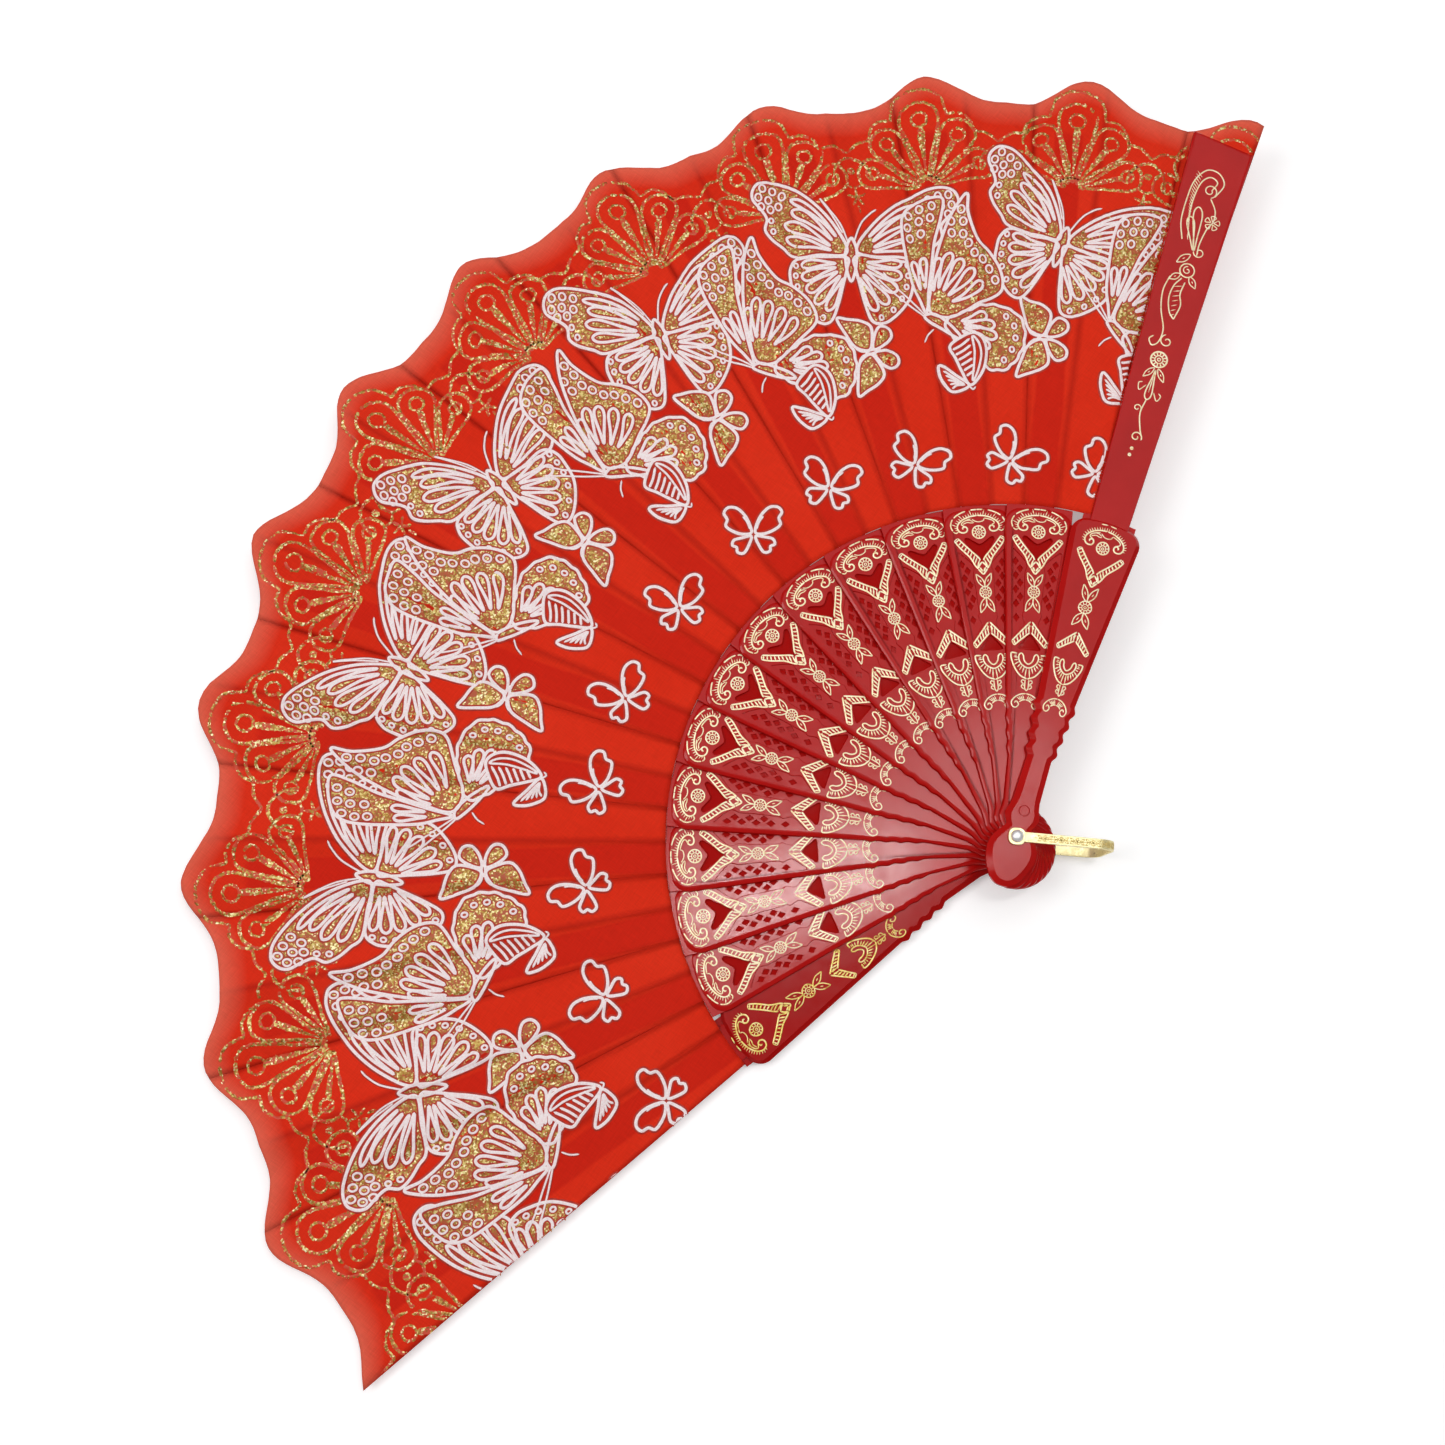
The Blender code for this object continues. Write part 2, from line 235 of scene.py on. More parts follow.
def lens(root, tip, width):
    """Closed leaf shape with a point at both ends."""
    return drawn(root, tip, [(x, width * y) for x, y in LENS + [(x, -y) for x, y in reversed(LENS[1:-1])]])


# ---- Meshes --------------------------------------------------------------------------------------------

SNAP = 1e-5
WELD = 0.002
LEVEL = 0.9995


def build_mesh(name, verts, faces, materials, indices=None):
    """Smooth mesh from millimetre points and a list of equal-sided face arrays."""
    mesh = bpy.data.meshes.new(name)
    faces = [f for f in faces if len(f)]
    loops = np.concatenate([f.ravel() for f in faces])
    totals = np.concatenate([np.full(len(f), f.shape[1]) for f in faces])
    mesh.vertices.add(len(verts))
    mesh.vertices.foreach_set("co", (np.asarray(verts, np.float32) * MM).ravel())
    mesh.loops.add(len(loops))
    mesh.loops.foreach_set("vertex_index", loops.astype(np.int32))
    mesh.polygons.add(len(totals))
    starts = np.concatenate([[0], np.cumsum(totals)[:-1]])
    mesh.polygons.foreach_set("loop_start", starts.astype(np.int32))
    mesh.polygons.foreach_set("use_smooth", np.ones(len(totals), bool))
    for material in materials:
        mesh.materials.append(material)
    if indices is not None:
        mesh.polygons.foreach_set("material_index", np.asarray(indices, np.int32))
    mesh.update(calc_edges=True)
    mesh.validate()
    return mesh


def add_object(name, data):
    """A new object in the scene."""
    obj = bpy.data.objects.new(name, data)
    bpy.context.scene.collection.objects.link(obj)
    return obj


def set_attribute(mesh, name, values, kind="FLOAT"):
    """Values stored on the mesh's points, for its material to read."""
    layer = mesh.attributes.new(name, kind, "POINT")
    key = "vector" if kind == "FLOAT_VECTOR" else "value"
    layer.data.foreach_set(key, np.asarray(values, np.float32).ravel())


def baked(obj):
    """The evaluated mesh of an object, which is then removed."""
    bpy.context.view_layer.update()
    mesh = bpy.data.meshes.new_from_object(obj.evaluated_get(bpy.context.evaluated_depsgraph_get()))
    bpy.data.objects.remove(obj, do_unlink=True)
    return mesh


def slab(loops, low, high, bevel, drop=None, lift=None, rounds=2):
    """Points and faces of a plate with rounded edges: the first loop is its outline, the others are holes.

    The rounding is bevel wide. It is drop deep at the top and lift deep below, or as deep as it is wide.
    """
    curve = bpy.data.curves.new("slab", "CURVE")
    curve.dimensions = "2D"
    curve.fill_mode = "BOTH"
    curve.extrude = MM
    curve.bevel_depth = bevel * MM
    curve.bevel_resolution = rounds
    curve.offset = -bevel * MM
    for loop in loops:
        spline = curve.splines.new("POLY")
        spline.points.add(len(loop) - 1)
        for point, (x, y) in zip(spline.points, loop):
            point.co = (x * MM, y * MM, 0.0, 1.0)
        spline.use_cyclic_u = True
    mesh = baked(add_object("slab", curve))
    points = np.zeros(len(mesh.vertices) * 3, np.float32)
    mesh.vertices.foreach_get("co", points)
    points = points.reshape(-1, 3).astype(float) / MM
    depth = np.clip((np.abs(points[:, 2]) - 1) / bevel, 0, 1)
    top = high - (bevel if drop is None else drop) * (1 - depth)
    bottom = low + (bevel if lift is None else lift) * (1 - depth)
    points[:, 2] = np.where(points[:, 2] > 0, top, bottom)
    sided = {3: [], 4: []}
    for face in mesh.polygons:
        sided[len(face.vertices)].append(list(face.vertices))
    bpy.data.meshes.remove(mesh)
    return welded(points, *(np.array(sided[n], int).reshape(-1, n) for n in (3, 4)))


def welded(points, tris, quads):
    """Points and faces with the points that coincide made one."""
    key = np.round(points / WELD).astype(np.int64)
    _, first, inverse = np.unique(key, axis=0, return_index=True, return_inverse=True)
    inverse = inverse.ravel()
    return points[first], [inverse[tris], inverse[quads]]


def inset(outline, width, window=5):
    """A counter-clockwise outline moved inwards, with its directions evened out."""
    along = directions(outline)
    along = sum(np.roll(along, shift, 0) for shift in range(-window, window + 1))
    along /= np.linalg.norm(along, axis=1)[:, None]
    return outline + left_of(along) * width[:, None]


def plate(levels):
    """Solid between stacked counter-clockwise outlines with as many points each: (outline, height)."""
    n = len(levels[0][0])
    i = np.arange(n)
    j = (i + 1) % n
    points = [np.column_stack([outline, np.full(n, height)]) for outline, height in levels]
    quads = [np.stack([i, j, n + j, n + i], -1) + n * level for level in range(len(levels) - 1)]
    tris = []
    for (outline, height), order in ((levels[0], -1), (levels[-1], 1)):
        edges = list(zip(i.tolist(), j.tolist()))
        verts, _, faces = delaunay_2d_cdt([Vector(p) for p in outline], edges, [], 1, SNAP)[:3]
        cap = np.array([f for f in faces if len(f) == 3], int).reshape(-1, 3)
        tris.append(cap[:, ::order] + sum(len(p) for p in points))
        points.append(np.column_stack([np.array(verts, float).reshape(-1, 2), np.full(len(verts), height)]))
    return welded(np.vstack(points), np.vstack(tris), np.vstack(quads))


def joined(parts):
    """Several (points, faces) in one."""
    points, tris, quads, count = [], [], [], 0
    for verts, (t, q) in parts:
        points.append(verts)
        tris.append(t + count)
        quads.append(q + count)
        count += len(verts)
    return np.vstack(points), [np.vstack(tris), np.vstack(quads)]


def sharpen(mesh, degrees=35):
    """Sharp edges by angle, and level faces kept flat."""
    mesh.set_sharp_from_angle(angle=math.radians(degrees))
    for face in mesh.polygons:
        if abs(face.normal.z) > LEVEL:
            face.use_smooth = False
    return mesh


# ---- Ribbons -------------------------------------------------------------------------------------------
# A section is a list of (share of the width from the middle, height, material index of the strip after it).

SLIVER = 0.004
BLUNT_END = 0.06
GRID_SHIFT = 0.2
GRID_MARGIN = 0.35
FILL_SPREAD = 0.03
PUFF_WIDTH = 0.84
RING_WIDTH = 0.58
FEELER_WIDTH = 0.45
# The outer strips of PUFF, at its foot, take the painted shade of the raised line on the cloth.
PUFF = [(-1.12, 0.0, 1), (-1.0, 0.5, 1), (-0.5, 0.52, 0), (-0.34, 0.88, 0), (0.0, 1.0, 0), (0.34, 0.88, 0),
        (0.5, 0.52, 1), (1.0, 0.5, 1), (1.12, 0.0, 1)]
GLITTER = [(-0.5, 0.0, 0), (-0.3, 1.0, 0), (0.3, 1.0, 0), (0.5, 0.0, 0)]
FOIL = [(-0.5, 0.0, 0), (-0.32, 1.0, 0), (0.32, 1.0, 0), (0.5, 0.0, 0)]


class Strips:
    """Ribbons and fills in plan, gathered as arrays."""

    def __init__(self):
        self.points, self.lifts, self.count = [], [], 0
        self.quads, self.quad_mats = [np.zeros((0, 4), int)], [np.zeros(0, int)]
        self.tris, self.tri_mats = [np.zeros((0, 3), int)], [np.zeros(0, int)]

    def ribbon(self, line, closed, section, width, height, base=0.0, jitter=0.0, shift=0, taper=0.35):
        """A section drawn along a line; an open line's ends narrow over taper widths."""
        line = np.asarray(line, float)
        n = len(line)
        if n < 2:
            return
        normal = left_of(directions(line, closed))
        grow = np.ones(n)
        if not closed:
            run = spread(line)
            near = np.minimum(run, run[-1] - run)
            grow = np.sqrt(np.clip(near / (width * taper) + BLUNT_END, 0, 1))
        for share, rise, _ in section:
            offset = share * width * grow
            if jitter:
                offset = offset + rng.normal(0, jitter, n) * abs(share) * 2
            self.points.append(line + normal * offset[:, None])
            self.lifts.append(base + rise * height * np.minimum(grow * 1.2, 1))
        start = self.count + np.arange(len(section) - 1)[:, None] * n
        i = np.arange(n if closed else n - 1)[None, :]
        j = (i + 1) % n
        quads = np.stack([start + i, start + n + i, start + n + j, start + j], -1)
        self.quads.append(quads.reshape(-1, 4)[:, ::-1])
        self.quad_mats.append(np.repeat([mat + shift for _, _, mat in section[:-1]], i.size))
        self.count += len(section) * n

    def fill(self, outline, lift, material, spacing=1.1, jitter=0.0):
        """Closed flat area, with points inside that let it follow a curved surface."""
        outline = np.asarray(outline, float)
        if jitter:
            outline = outline + rng.normal(0, jitter, outline.shape)
        low, high = outline.min(0), outline.max(0)
        grid = np.stack(np.meshgrid(np.arange(low[0], high[0], spacing),
                                    np.arange(low[1], high[1], spacing)), -1).reshape(-1, 2)
        grid = grid + rng.uniform(-GRID_SHIFT, GRID_SHIFT, grid.shape) * spacing
        gap = np.linalg.norm(grid[:, None] - outline[None], axis=2).min(1)
        grid = grid[within(grid, outline) & (gap > spacing * GRID_MARGIN)]
        n = len(outline)
        edges = [(i, (i + 1) % n) for i in range(n)]
        points = [Vector(p) for p in np.vstack([outline, grid])]
        verts, _, faces = delaunay_2d_cdt(points, edges, [], 1, SNAP)[:3]
        if not faces:
            return
        verts = np.array(verts, float).reshape(-1, 2)
        tris = np.array([f for f in faces if len(f) == 3], int).reshape(-1, 3)
        one, two = (verts[tris[:, i]] - verts[tris[:, 0]] for i in (1, 2))
        size = one[:, 0] * two[:, 1] - one[:, 1] * two[:, 0]
        tris[size < 0] = tris[size < 0][:, ::-1]
        tris = tris[np.abs(size) > SLIVER]
        self.tris.append(tris + self.count)
        self.tri_mats.append(np.full(len(tris), material))
        self.points.append(verts)
        self.lifts.append(np.full(len(verts), lift + FILL_SPREAD * rng.random()))
        self.count += len(verts)

    def arrays(self):
        """Points, lifts, then quads with their materials and triangles with theirs."""
        lists = (self.points, self.lifts, self.quads, self.quad_mats, self.tris, self.tri_mats)
        return [np.concatenate(parts) for parts in lists]


# ---- The leaf's surface --------------------------------------------------------------------------------
# Gore k runs clockwise from its fold on the near side of blade k to the fold before blade k + 1: the panel
# glued on blade k, then the free panel, which folds over it when the fan closes.

FREE = [AZIMUTHS[k] - AZIMUTHS[k + 1] - 2 * FOLD for k in range(LAST)] + [1.0]
TOPS = [REAR_CLOTH_TOP] + [FLOORS[k] + CLOTH_TOP for k in range(1, LAST - 1)]
TOPS += [FLOORS[LAST - 1] + LAST_CLOTH_TOP, FRONT_CLOTH_TOP]
RISES = [TOPS[k + 1] - TOPS[k] for k in range(LAST)] + [0.0]
FIRST_RISE = 0.34
LAST_RISE = 0.92
REST_RISES = [max(rise - LAST_RISE, FIRST_RISE) for rise in RISES]
UNLIMITED = 9.0
VALLEYS = [0.0, 1.2] + [UNLIMITED] * (LAST - 1)
RIDGES = [0.4] + [UNLIMITED] * (LAST - 3) + [1.2, 0.3, 0.0]
PLEAT_GROWTH = 1.25
PLEAT_INNER = 0.35
PLEAT_OUTER = 2.3
FLAT_END = LEAF_VALLEY + 6
FLAT_FADE = 14
FLAT_LEAST = 0.25
CREASE_REACH = 1.6
CREASE_GROWTH = 1.1
RIPPLE = 0.4
RIPPLE_ALONG = 0.31
RIPPLE_ACROSS = 9
LEAF_MIDDLE = 150.0
LEAF_ROWS = ((0.9, 61), (1, 11))
NUDGE = 1e-6
GORE_STARTS = [AZIMUTHS[0] + REAR_HEM] + [a + FOLD for a in AZIMUTHS[1:]]


def pleat_depth(along):
    """How far the pleats rise and fall at a distance from the pivot."""
    share = np.clip((along - LEAF_INNER) / (LEAF_VALLEY - LEAF_INNER), 0, 1.1)
    return PLEAT_INNER + (PLEAT_OUTER - PLEAT_INNER) * share ** PLEAT_GROWTH


def flat_half(along):
    """Half the angle over which the cloth lies flat on a slip."""
    half = SLIP_HALF * np.clip((FLAT_END - along) / FLAT_FADE, FLAT_LEAST, 1)
    return np.degrees(np.arcsin(half / along))


def stops(start, *runs):
    """Values from start through each (end, steps) in even steps."""
    out = [[start]]
    for end, steps in runs:
        out.append(np.linspace(out[-1][-1], end, steps + 1)[1:])
    return np.concatenate(out)


def crease(offset, along, valley, ridge):
    """Height over the slip, from a valley at the fold on the near side to a ridge at the far fold."""
    half = flat_half(along)
    out = np.clip((np.abs(offset) - half) / (FOLD - half), 0, CREASE_REACH)
    depth = pleat_depth(along)
    fold = np.where(offset > 0, -np.minimum(depth, valley), np.minimum(depth, ridge))
    ripple = RIPPLE * np.sin(along * RIPPLE_ALONG + offset * RIPPLE_ACROSS) * out * np.clip(1 - out, 0, 1)
    return fold * out ** CREASE_GROWTH + ripple


def gore_of(azimuth):
    """Index of the gore that holds an azimuth."""
    edges = np.array(GORE_STARTS[1:])
    return np.clip((azimuth[:, None] <= edges[None, :]).sum(1), 0, LAST)


def leaf_height(azimuth, along):
    """Height of the leaf's front surface."""
    k = gore_of(azimuth)

    def pick(values):
        """Each point's own gore's value."""
        return np.array(values)[k]

    offset = azimuth - pick(AZIMUTHS)
    glued = offset >= -FOLD
    free = np.clip((-FOLD - offset) / pick(FREE), 0, 1)
    over = crease(np.where(glued, np.minimum(offset, FOLD), FOLD * (2 * free - 1)), along,
                  np.where(glued, pick(VALLEYS), pick(VALLEYS[1:] + [0.0])), pick(RIDGES))
    start = (FOLD - flat_half(along)) / (2 * FOLD)
    rest, rise = pick(REST_RISES), pick(RISES)
    climb = rest * np.clip(free / start, 0, 1)
    climb = climb + (rise - rest) * np.clip((free - 1 + start) / start, 0, 1)
    return pick(TOPS) + over + np.where(glued, 0.0, climb)


def polar(points):
    """Azimuth and distance from the pivot; azimuths run on past 180 degrees."""
    azimuth = np.degrees(np.arctan2(points[:, 1], points[:, 0]))
    return np.where(azimuth < -90, azimuth + 360, azimuth), np.hypot(points[:, 0], points[:, 1])


def plan(azimuth, along):
    """Point in plan at an azimuth and a distance from the pivot."""
    angle = np.radians(azimuth)
    return np.stack([along * np.cos(angle), along * np.sin(angle)], -1)


def gore_columns(k, along):
    """Azimuths across gore k at one distance, with a column on each bend of the pleat."""
    half = float(flat_half(np.array([along]))[0])
    start = REAR_HEM if k == 0 else FOLD
    end = -FRONT_HEM if k == LAST else -FOLD
    columns = AZIMUTHS[k] + stops(start, (half, 5), (-half, 7), (end, 4))
    if k == LAST:
        return columns
    free = stops(-FOLD, (-half, 5), (half, 7), (FOLD, 5))[1:] / FOLD + 1
    return np.concatenate([columns, AZIMUTHS[k] - FOLD - free / 2 * FREE[k]])


def cloth_mesh(k, material):
    """Gore k as a grid, with the places that the cloth's material reads."""
    rows = []
    for share in stops(0, *LEAF_ROWS):
        azimuth = gore_columns(k, LEAF_MIDDLE)
        # A row's distances depend on its azimuths through the rim, and its azimuths on its distances.
        for _ in range(3):
            along = LEAF_INNER + (rim_radius(azimuth) - LEAF_INNER) * share
            azimuth = np.array([gore_columns(k, a)[i] for i, a in enumerate(along)])
        rows.append(np.stack([azimuth, along], -1))
    grid = np.array(rows)
    height, width = grid.shape[:2]
    azimuth, along = grid.reshape(-1, 2).T
    inner = azimuth + np.tile(np.r_[-NUDGE, np.zeros(width - 2), NUDGE if k < LAST else 0], height)
    places = plan(azimuth, along)
    index = np.arange(height * width).reshape(height, width)
    quads = np.stack([index[:-1, :-1], index[:-1, 1:], index[1:, 1:], index[1:, :-1]], -1).reshape(-1, 4)
    mesh = build_mesh("cloth_%02d" % k, np.column_stack([places, leaf_height(inner, along)]), [quads],
                      [material])
    set_attribute(mesh, "rest", np.column_stack([places, np.zeros(len(along))]), "FLOAT_VECTOR")
    set_attribute(mesh, "along", along)
    set_attribute(mesh, "across", np.radians(AZIMUTHS[k] - azimuth) * along)
    set_attribute(mesh, "from_rim", rim_radius(azimuth) - along)
    # Distance from the nearest fold, for the painted shade in the creases.
    folds = np.array([grid[0, 0, 0], AZIMUTHS[k] - FOLD, grid[0, -1, 0]])
    from_fold = np.abs(azimuth[:, None] - folds).min(1)
    set_attribute(mesh, "from_fold", np.radians(from_fold) * along)
    return mesh, azimuth


def bend_with(obj, k):
    """The last gore's piece rides on its blade; any other keeps its place, with its transform applied to its
    mesh.
    """
    if k == LAST:
        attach(obj, BLADES[k])
        return
    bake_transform(obj)


def make_cloth(material):
    """The leaf's gores as thickened sheets, which take the place of the model's leaf solids."""
    gores = []
    for k in range(LAST + 1):
        mesh, azimuth = cloth_mesh(k, material)
        obj = add_object("leaf_gore_%02d" % k, mesh)
        thickness = obj.modifiers.new("thickness", "SOLIDIFY")
        thickness.thickness = CLOTH * MM
        thickness.offset = -1
        bend_with(obj, k)
        if k < LAST:
            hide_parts("leaf_%02d" % (k + 1))
        gores.append(obj)
    return gores


# ---- Prints on the leaf --------------------------------------------------------------------------------
# A motif is drawn with x clockwise and y outwards, in millimetres.

# Slots of the prints' materials. The first two are the raised line and the painted shade on the cloth at its
# foot:
# PUFF's profile gives them by number.
GLITTER_MAT = 2
RIM_GLITTER_MAT = 3
AREA_LIFT = 0.05
AREA_JITTER = 0.1
GLITTER_BASE = 0.01
GLITTER_HEIGHT = 0.06
GLITTER_JITTER = 0.07
HEIGHT_SPREAD = 0.01
COVER_REACH = 40
PRINT_GAP = 0.3
RIM_GAP = 0.35
REAR_GAP = 0.08
FRONT_GAP = 0.05


class Motif:
    """Raised lines, glitter lines, glitter areas, and the outlines that hide the motifs behind."""

    def __init__(self):
        self.lines, self.glitter, self.areas, self.covers = [], [], [], []

    def line(self, points, closed=False, width=PUFF_WIDTH, step=0.6):
        """Raised white line."""
        self.lines.append((smooth_curve(points, closed, step), closed, width))

    def sparkle(self, points, closed=False, width=0.8):
        """Glitter line."""
        self.glitter.append((smooth_curve(points, closed, 0.5), closed, width))

    def area(self, points):
        """Glitter area."""
        self.areas.append(smooth_curve(points, True, 0.8))

    def wing(self, points, gold=True):
        """Outlined wing, covered with glitter, that hides what lies behind it."""
        self.line(points, True)
        if gold:
            self.area(points)
        self.covers.append(smooth_curve(points, True, 1.2))

    def rings(self, places, radius=0.8):
        """Small thin ovals."""
        for place in places:
            self.line(ring(place, (radius * 0.8, radius), 10), True, width=RING_WIDTH, step=0.9)

    def finger(self, root, tip, width, bend=0.0):
        """Loop that widens outwards."""
        self.line(petal(root, tip, width, bend), True)

    def feelers(self, *lines):
        """Thin single lines, for antennae and legs."""
        for points in lines:
            self.line(points, width=FEELER_WIDTH)

    def placed(self, azimuth, along=0.0, degrees=0.0):
        """The motif with its origin at a place on the leaf and its y axis outwards."""
        angle = math.radians(azimuth)
        outward = np.array([math.cos(angle), math.sin(angle)])
        clockwise = np.array([math.sin(angle), -math.cos(angle)])

        def put(points):
            """Points on the leaf."""
            local = turned(points, degrees, (0.0, along))
            return local[:, :1] * clockwise + local[:, 1:] * outward

        out = Motif()
        out.lines = [(put(p), c, w) for p, c, w in self.lines]
        out.glitter = [(put(p), c, w) for p, c, w in self.glitter]
        out.areas = [put(p) for p in self.areas]
        out.covers = [put(p) for p in self.covers]
        return out


def open_butterfly():
    """Large butterfly seen from above, head at +y."""
    m = Motif()
    fore = [(1.2, 3.4), (5.0, 12.3), (12.3, 20.2), (21.3, 25.4), (26.5, 25.8), (28.8, 23.4), (28.9, 20.2),
            (26.4, 17.0), (24.7, 14.0), (25.2, 10.6), (23.2, 7.6), (19.9, 4.9), (16.7, 2.4), (9.0, 2.6)]
    tip_rings = [(26.0, 24.0), (27.2, 21.0), (26.4, 18.0), (23.0, 23.2), (24.2, 20.2), (23.6, 17.2),
                 (20.2, 21.6), (21.2, 18.4)]
    fore_fingers = [((4.4, 8.6), (17.6, 20.2), 1.9, 1.2), ((5.6, 7.4), (17.2, 16.8), 2.9, 0.8),
                    ((6.2, 5.6), (19.2, 13.0), 3.1, 0.4), ((6.0, 4.2), (18.8, 8.2), 2.9, 0.0)]
    hind = [(1.2, 1.8), (8.0, 2.0), (15.4, 1.8), (17.8, -1.4), (17.8, -5.4), (16.6, -10.6), (13.2, -15.2),
            (9.2, -18.2), (6.0, -17.8), (4.0, -13.0), (2.4, -6.6), (1.2, -1.6)]
    hind_rings = [(16.2, -0.4), (16.3, -3.6), (15.8, -7.0), (14.4, -10.6), (11.9, -14.0), (8.4, -16.6)]
    hind_fingers = [((14.4, 0.0), 2.5), ((14.4, -4.0), 3.0), ((13.0, -8.2), 3.1), ((10.4, -12.2), 3.0),
                    ((7.0, -14.6), 2.6)]
    for side, size, lean in ((-1, 0.97, 0.0), (1, 1.0, -6.0)):

        def flip(points, degrees=0.0):
            """A wing's points on this side, turned to its lean."""
            return turned([(side * x * size, y * size) for x, y in points], degrees)

        m.wing(flip(fore, lean))
        m.rings(flip(tip_rings, lean), 1.15)
        m.rings(flip([(23.4, 13.6), (22.8, 10.2)], lean))
        for root, tip, width, bend in fore_fingers:
            m.finger(*flip([root, tip], lean), width * size, bend * side)
        m.wing(flip(hind))
        for tip, width in hind_fingers:
            m.finger(*flip([np.array(tip) * 0.32, tip]), width * size)
        m.rings(flip(hind_rings), 0.75)
    m.line([(0.8, 6.2), (3.0, 12.0), (5.6, 15.2), (7.5, 16.6)], width=0.5)
    m.feelers([(-0.8, 6.2), (-3.0, 12.0), (-6.2, 16.8), (-8.7, 19.8), (-5.2, 14.6), (-2.2, 9.0)])
    m.line([(0, 7.4), (1.5, 4.0), (1.5, 0.5), (1.0, -3.0), (0.0, -5.4), (-1.0, -3.0), (-1.5, 0.5),
            (-1.5, 4.0)], True)
    m.area([(0, 6.0), (0.9, 3.4), (0.8, 0.0), (0.0, -4.0), (-0.8, 0.0), (-0.9, 3.4)])
    return m


def side_butterfly():
    """Large butterfly seen from the side, its head at the origin."""
    m = Motif()
    fore = [(0.8, 2.0), (2.0, 10.1), (4.0, 18.0), (8.4, 28.5), (12.4, 34.6), (14.8, 36.4), (14.4, 30.6),
            (16.2, 22.6), (19.4, 18.4), (21.8, 13.4), (22.3, 8.6), (20.6, 5.4), (14.0, 2.6), (6.0, -0.6)]
    behind = [(-0.2, 1.6), (-1.8, 5.6), (-3.4, 10.4), (-4.4, 18.0), (-5.0, 25.7), (-4.4, 31.0), (-1.8, 34.2),
              (3.6, 36.0), (7.6, 35.6), (6.4, 29.6), (4.0, 22.8), (2.6, 16.0), (1.0, 8.0)]
    m.wing(behind)
    m.wing(fore)
    m.rings([(12.6, 32.0), (9.4, 28.6), (12.8, 28.2), (9.2, 25.0), (12.4, 24.4), (13.6, 21.4), (15.0, 18.2),
             (17.2, 16.2), (18.8, 13.2), (20.2, 9.8)], 1.2)
    for tip, width, bend in (((5.0, 17.4), 2.2, 0.6), ((8.4, 18.8), 2.6, 0.4), ((11.4, 16.8), 2.8, 0.0),
                             ((14.2, 13.4), 2.8, -0.3), ((16.4, 9.2), 2.6, -0.6)):
        m.finger(np.array(tip) * 0.45, tip, width, bend)
    m.rings([(-2.6, 31.4), (0.6, 33.0), (4.2, 33.6), (-3.2, 27.8), (0.2, 29.4), (3.4, 30.0), (-2.8, 24.4),
             (0.4, 25.6)], 1.15)
    for tip in ((-2.5, 17.2), (0.3, 18.2)):
        m.finger(np.array(tip) * 0.5, tip, 1.8)
    hind = [(5.2, -1.8), (12.0, 1.0), (19.0, 2.0), (25.2, -1.2), (26.8, -5.8), (25.4, -11.6), (20.9, -16.6),
            (16.0, -16.6), (11.4, -12.2), (6.6, -6.4)]
    m.wing(scalloped(hind, 0.5, 15)[::2])
    m.rings([(22.2, -1.4), (24.2, -4.4), (24.2, -8.0), (22.8, -11.4), (20.2, -14.4)])
    for tip, width in (((16.6, -0.8), 2.6), ((18.6, -3.8), 2.8), ((18.8, -7.4), 2.8), ((16.4, -10.6), 2.6)):
        m.finger(np.array((6.4, -2.4)) * 0.7 + np.array(tip) * 0.3, tip, width)
    m.line([(-0.9, 0.5), (1.6, 0.9), (5.6, -2.4), (8.4, -6.0), (8.6, -7.4), (5.4, -5.4), (1.4, -2.2)], True)
    m.area([(0.2, 0.0), (2.0, 0.0), (5.4, -3.0), (7.6, -6.2), (5.0, -4.4), (1.8, -1.6)])
    m.line([(-0.6, 0.8), (-4.6, 5.6), (-8.6, 10.2), (-11.6, 14.6)], width=0.5)
    m.line([(-0.9, 0.4), (-5.4, 4.4), (-9.8, 8.8), (-13.2, 12.6)], width=0.5)
    m.feelers([(1.4, -3.6), (-0.4, -5.2), (-1.6, -7.4)])
    return m


def scalloped(points, depth, count):
    """A closed outline with shallow bumps along it."""
    curve = smooth_curve(points, True, 0.7)
    out = curve - curve.mean(0)
    share = np.arange(len(curve)) / len(curve)
    length = np.linalg.norm(out, axis=1)[:, None]
    return curve + out / length * (depth * np.abs(np.sin(np.pi * count * share)))[:, None]


def gold_butterfly():
    """Small butterfly facing -x, with two pointed and two round gold wings."""
    m = Motif()
    fore = [(-0.6, 0.6), (-4.0, 2.4), (-5.7, 6.8), (-6.9, 11.9), (-4.0, 11.0), (-0.4, 9.6), (1.8, 7.2),
            (1.0, 2.8)]
    hind = [(0.9, 0.6), (1.9, 4.0), (4.0, 6.4), (6.5, 5.4), (6.7, 2.9), (4.1, 0.9)]
    feeler = [(-1.2, 0.3), (-2.6, 0.6), (-3.8, 1.6), (-4.2, 2.8)]
    for side in SIDES:
        for wing in (fore, hind):
            m.wing(flipped(wing, side))
        m.feelers(flipped(feeler, side))
    m.line([(-1.4, 0.0), (0.0, 0.6), (2.4, 0.0), (0.0, -0.6)], True)
    return m


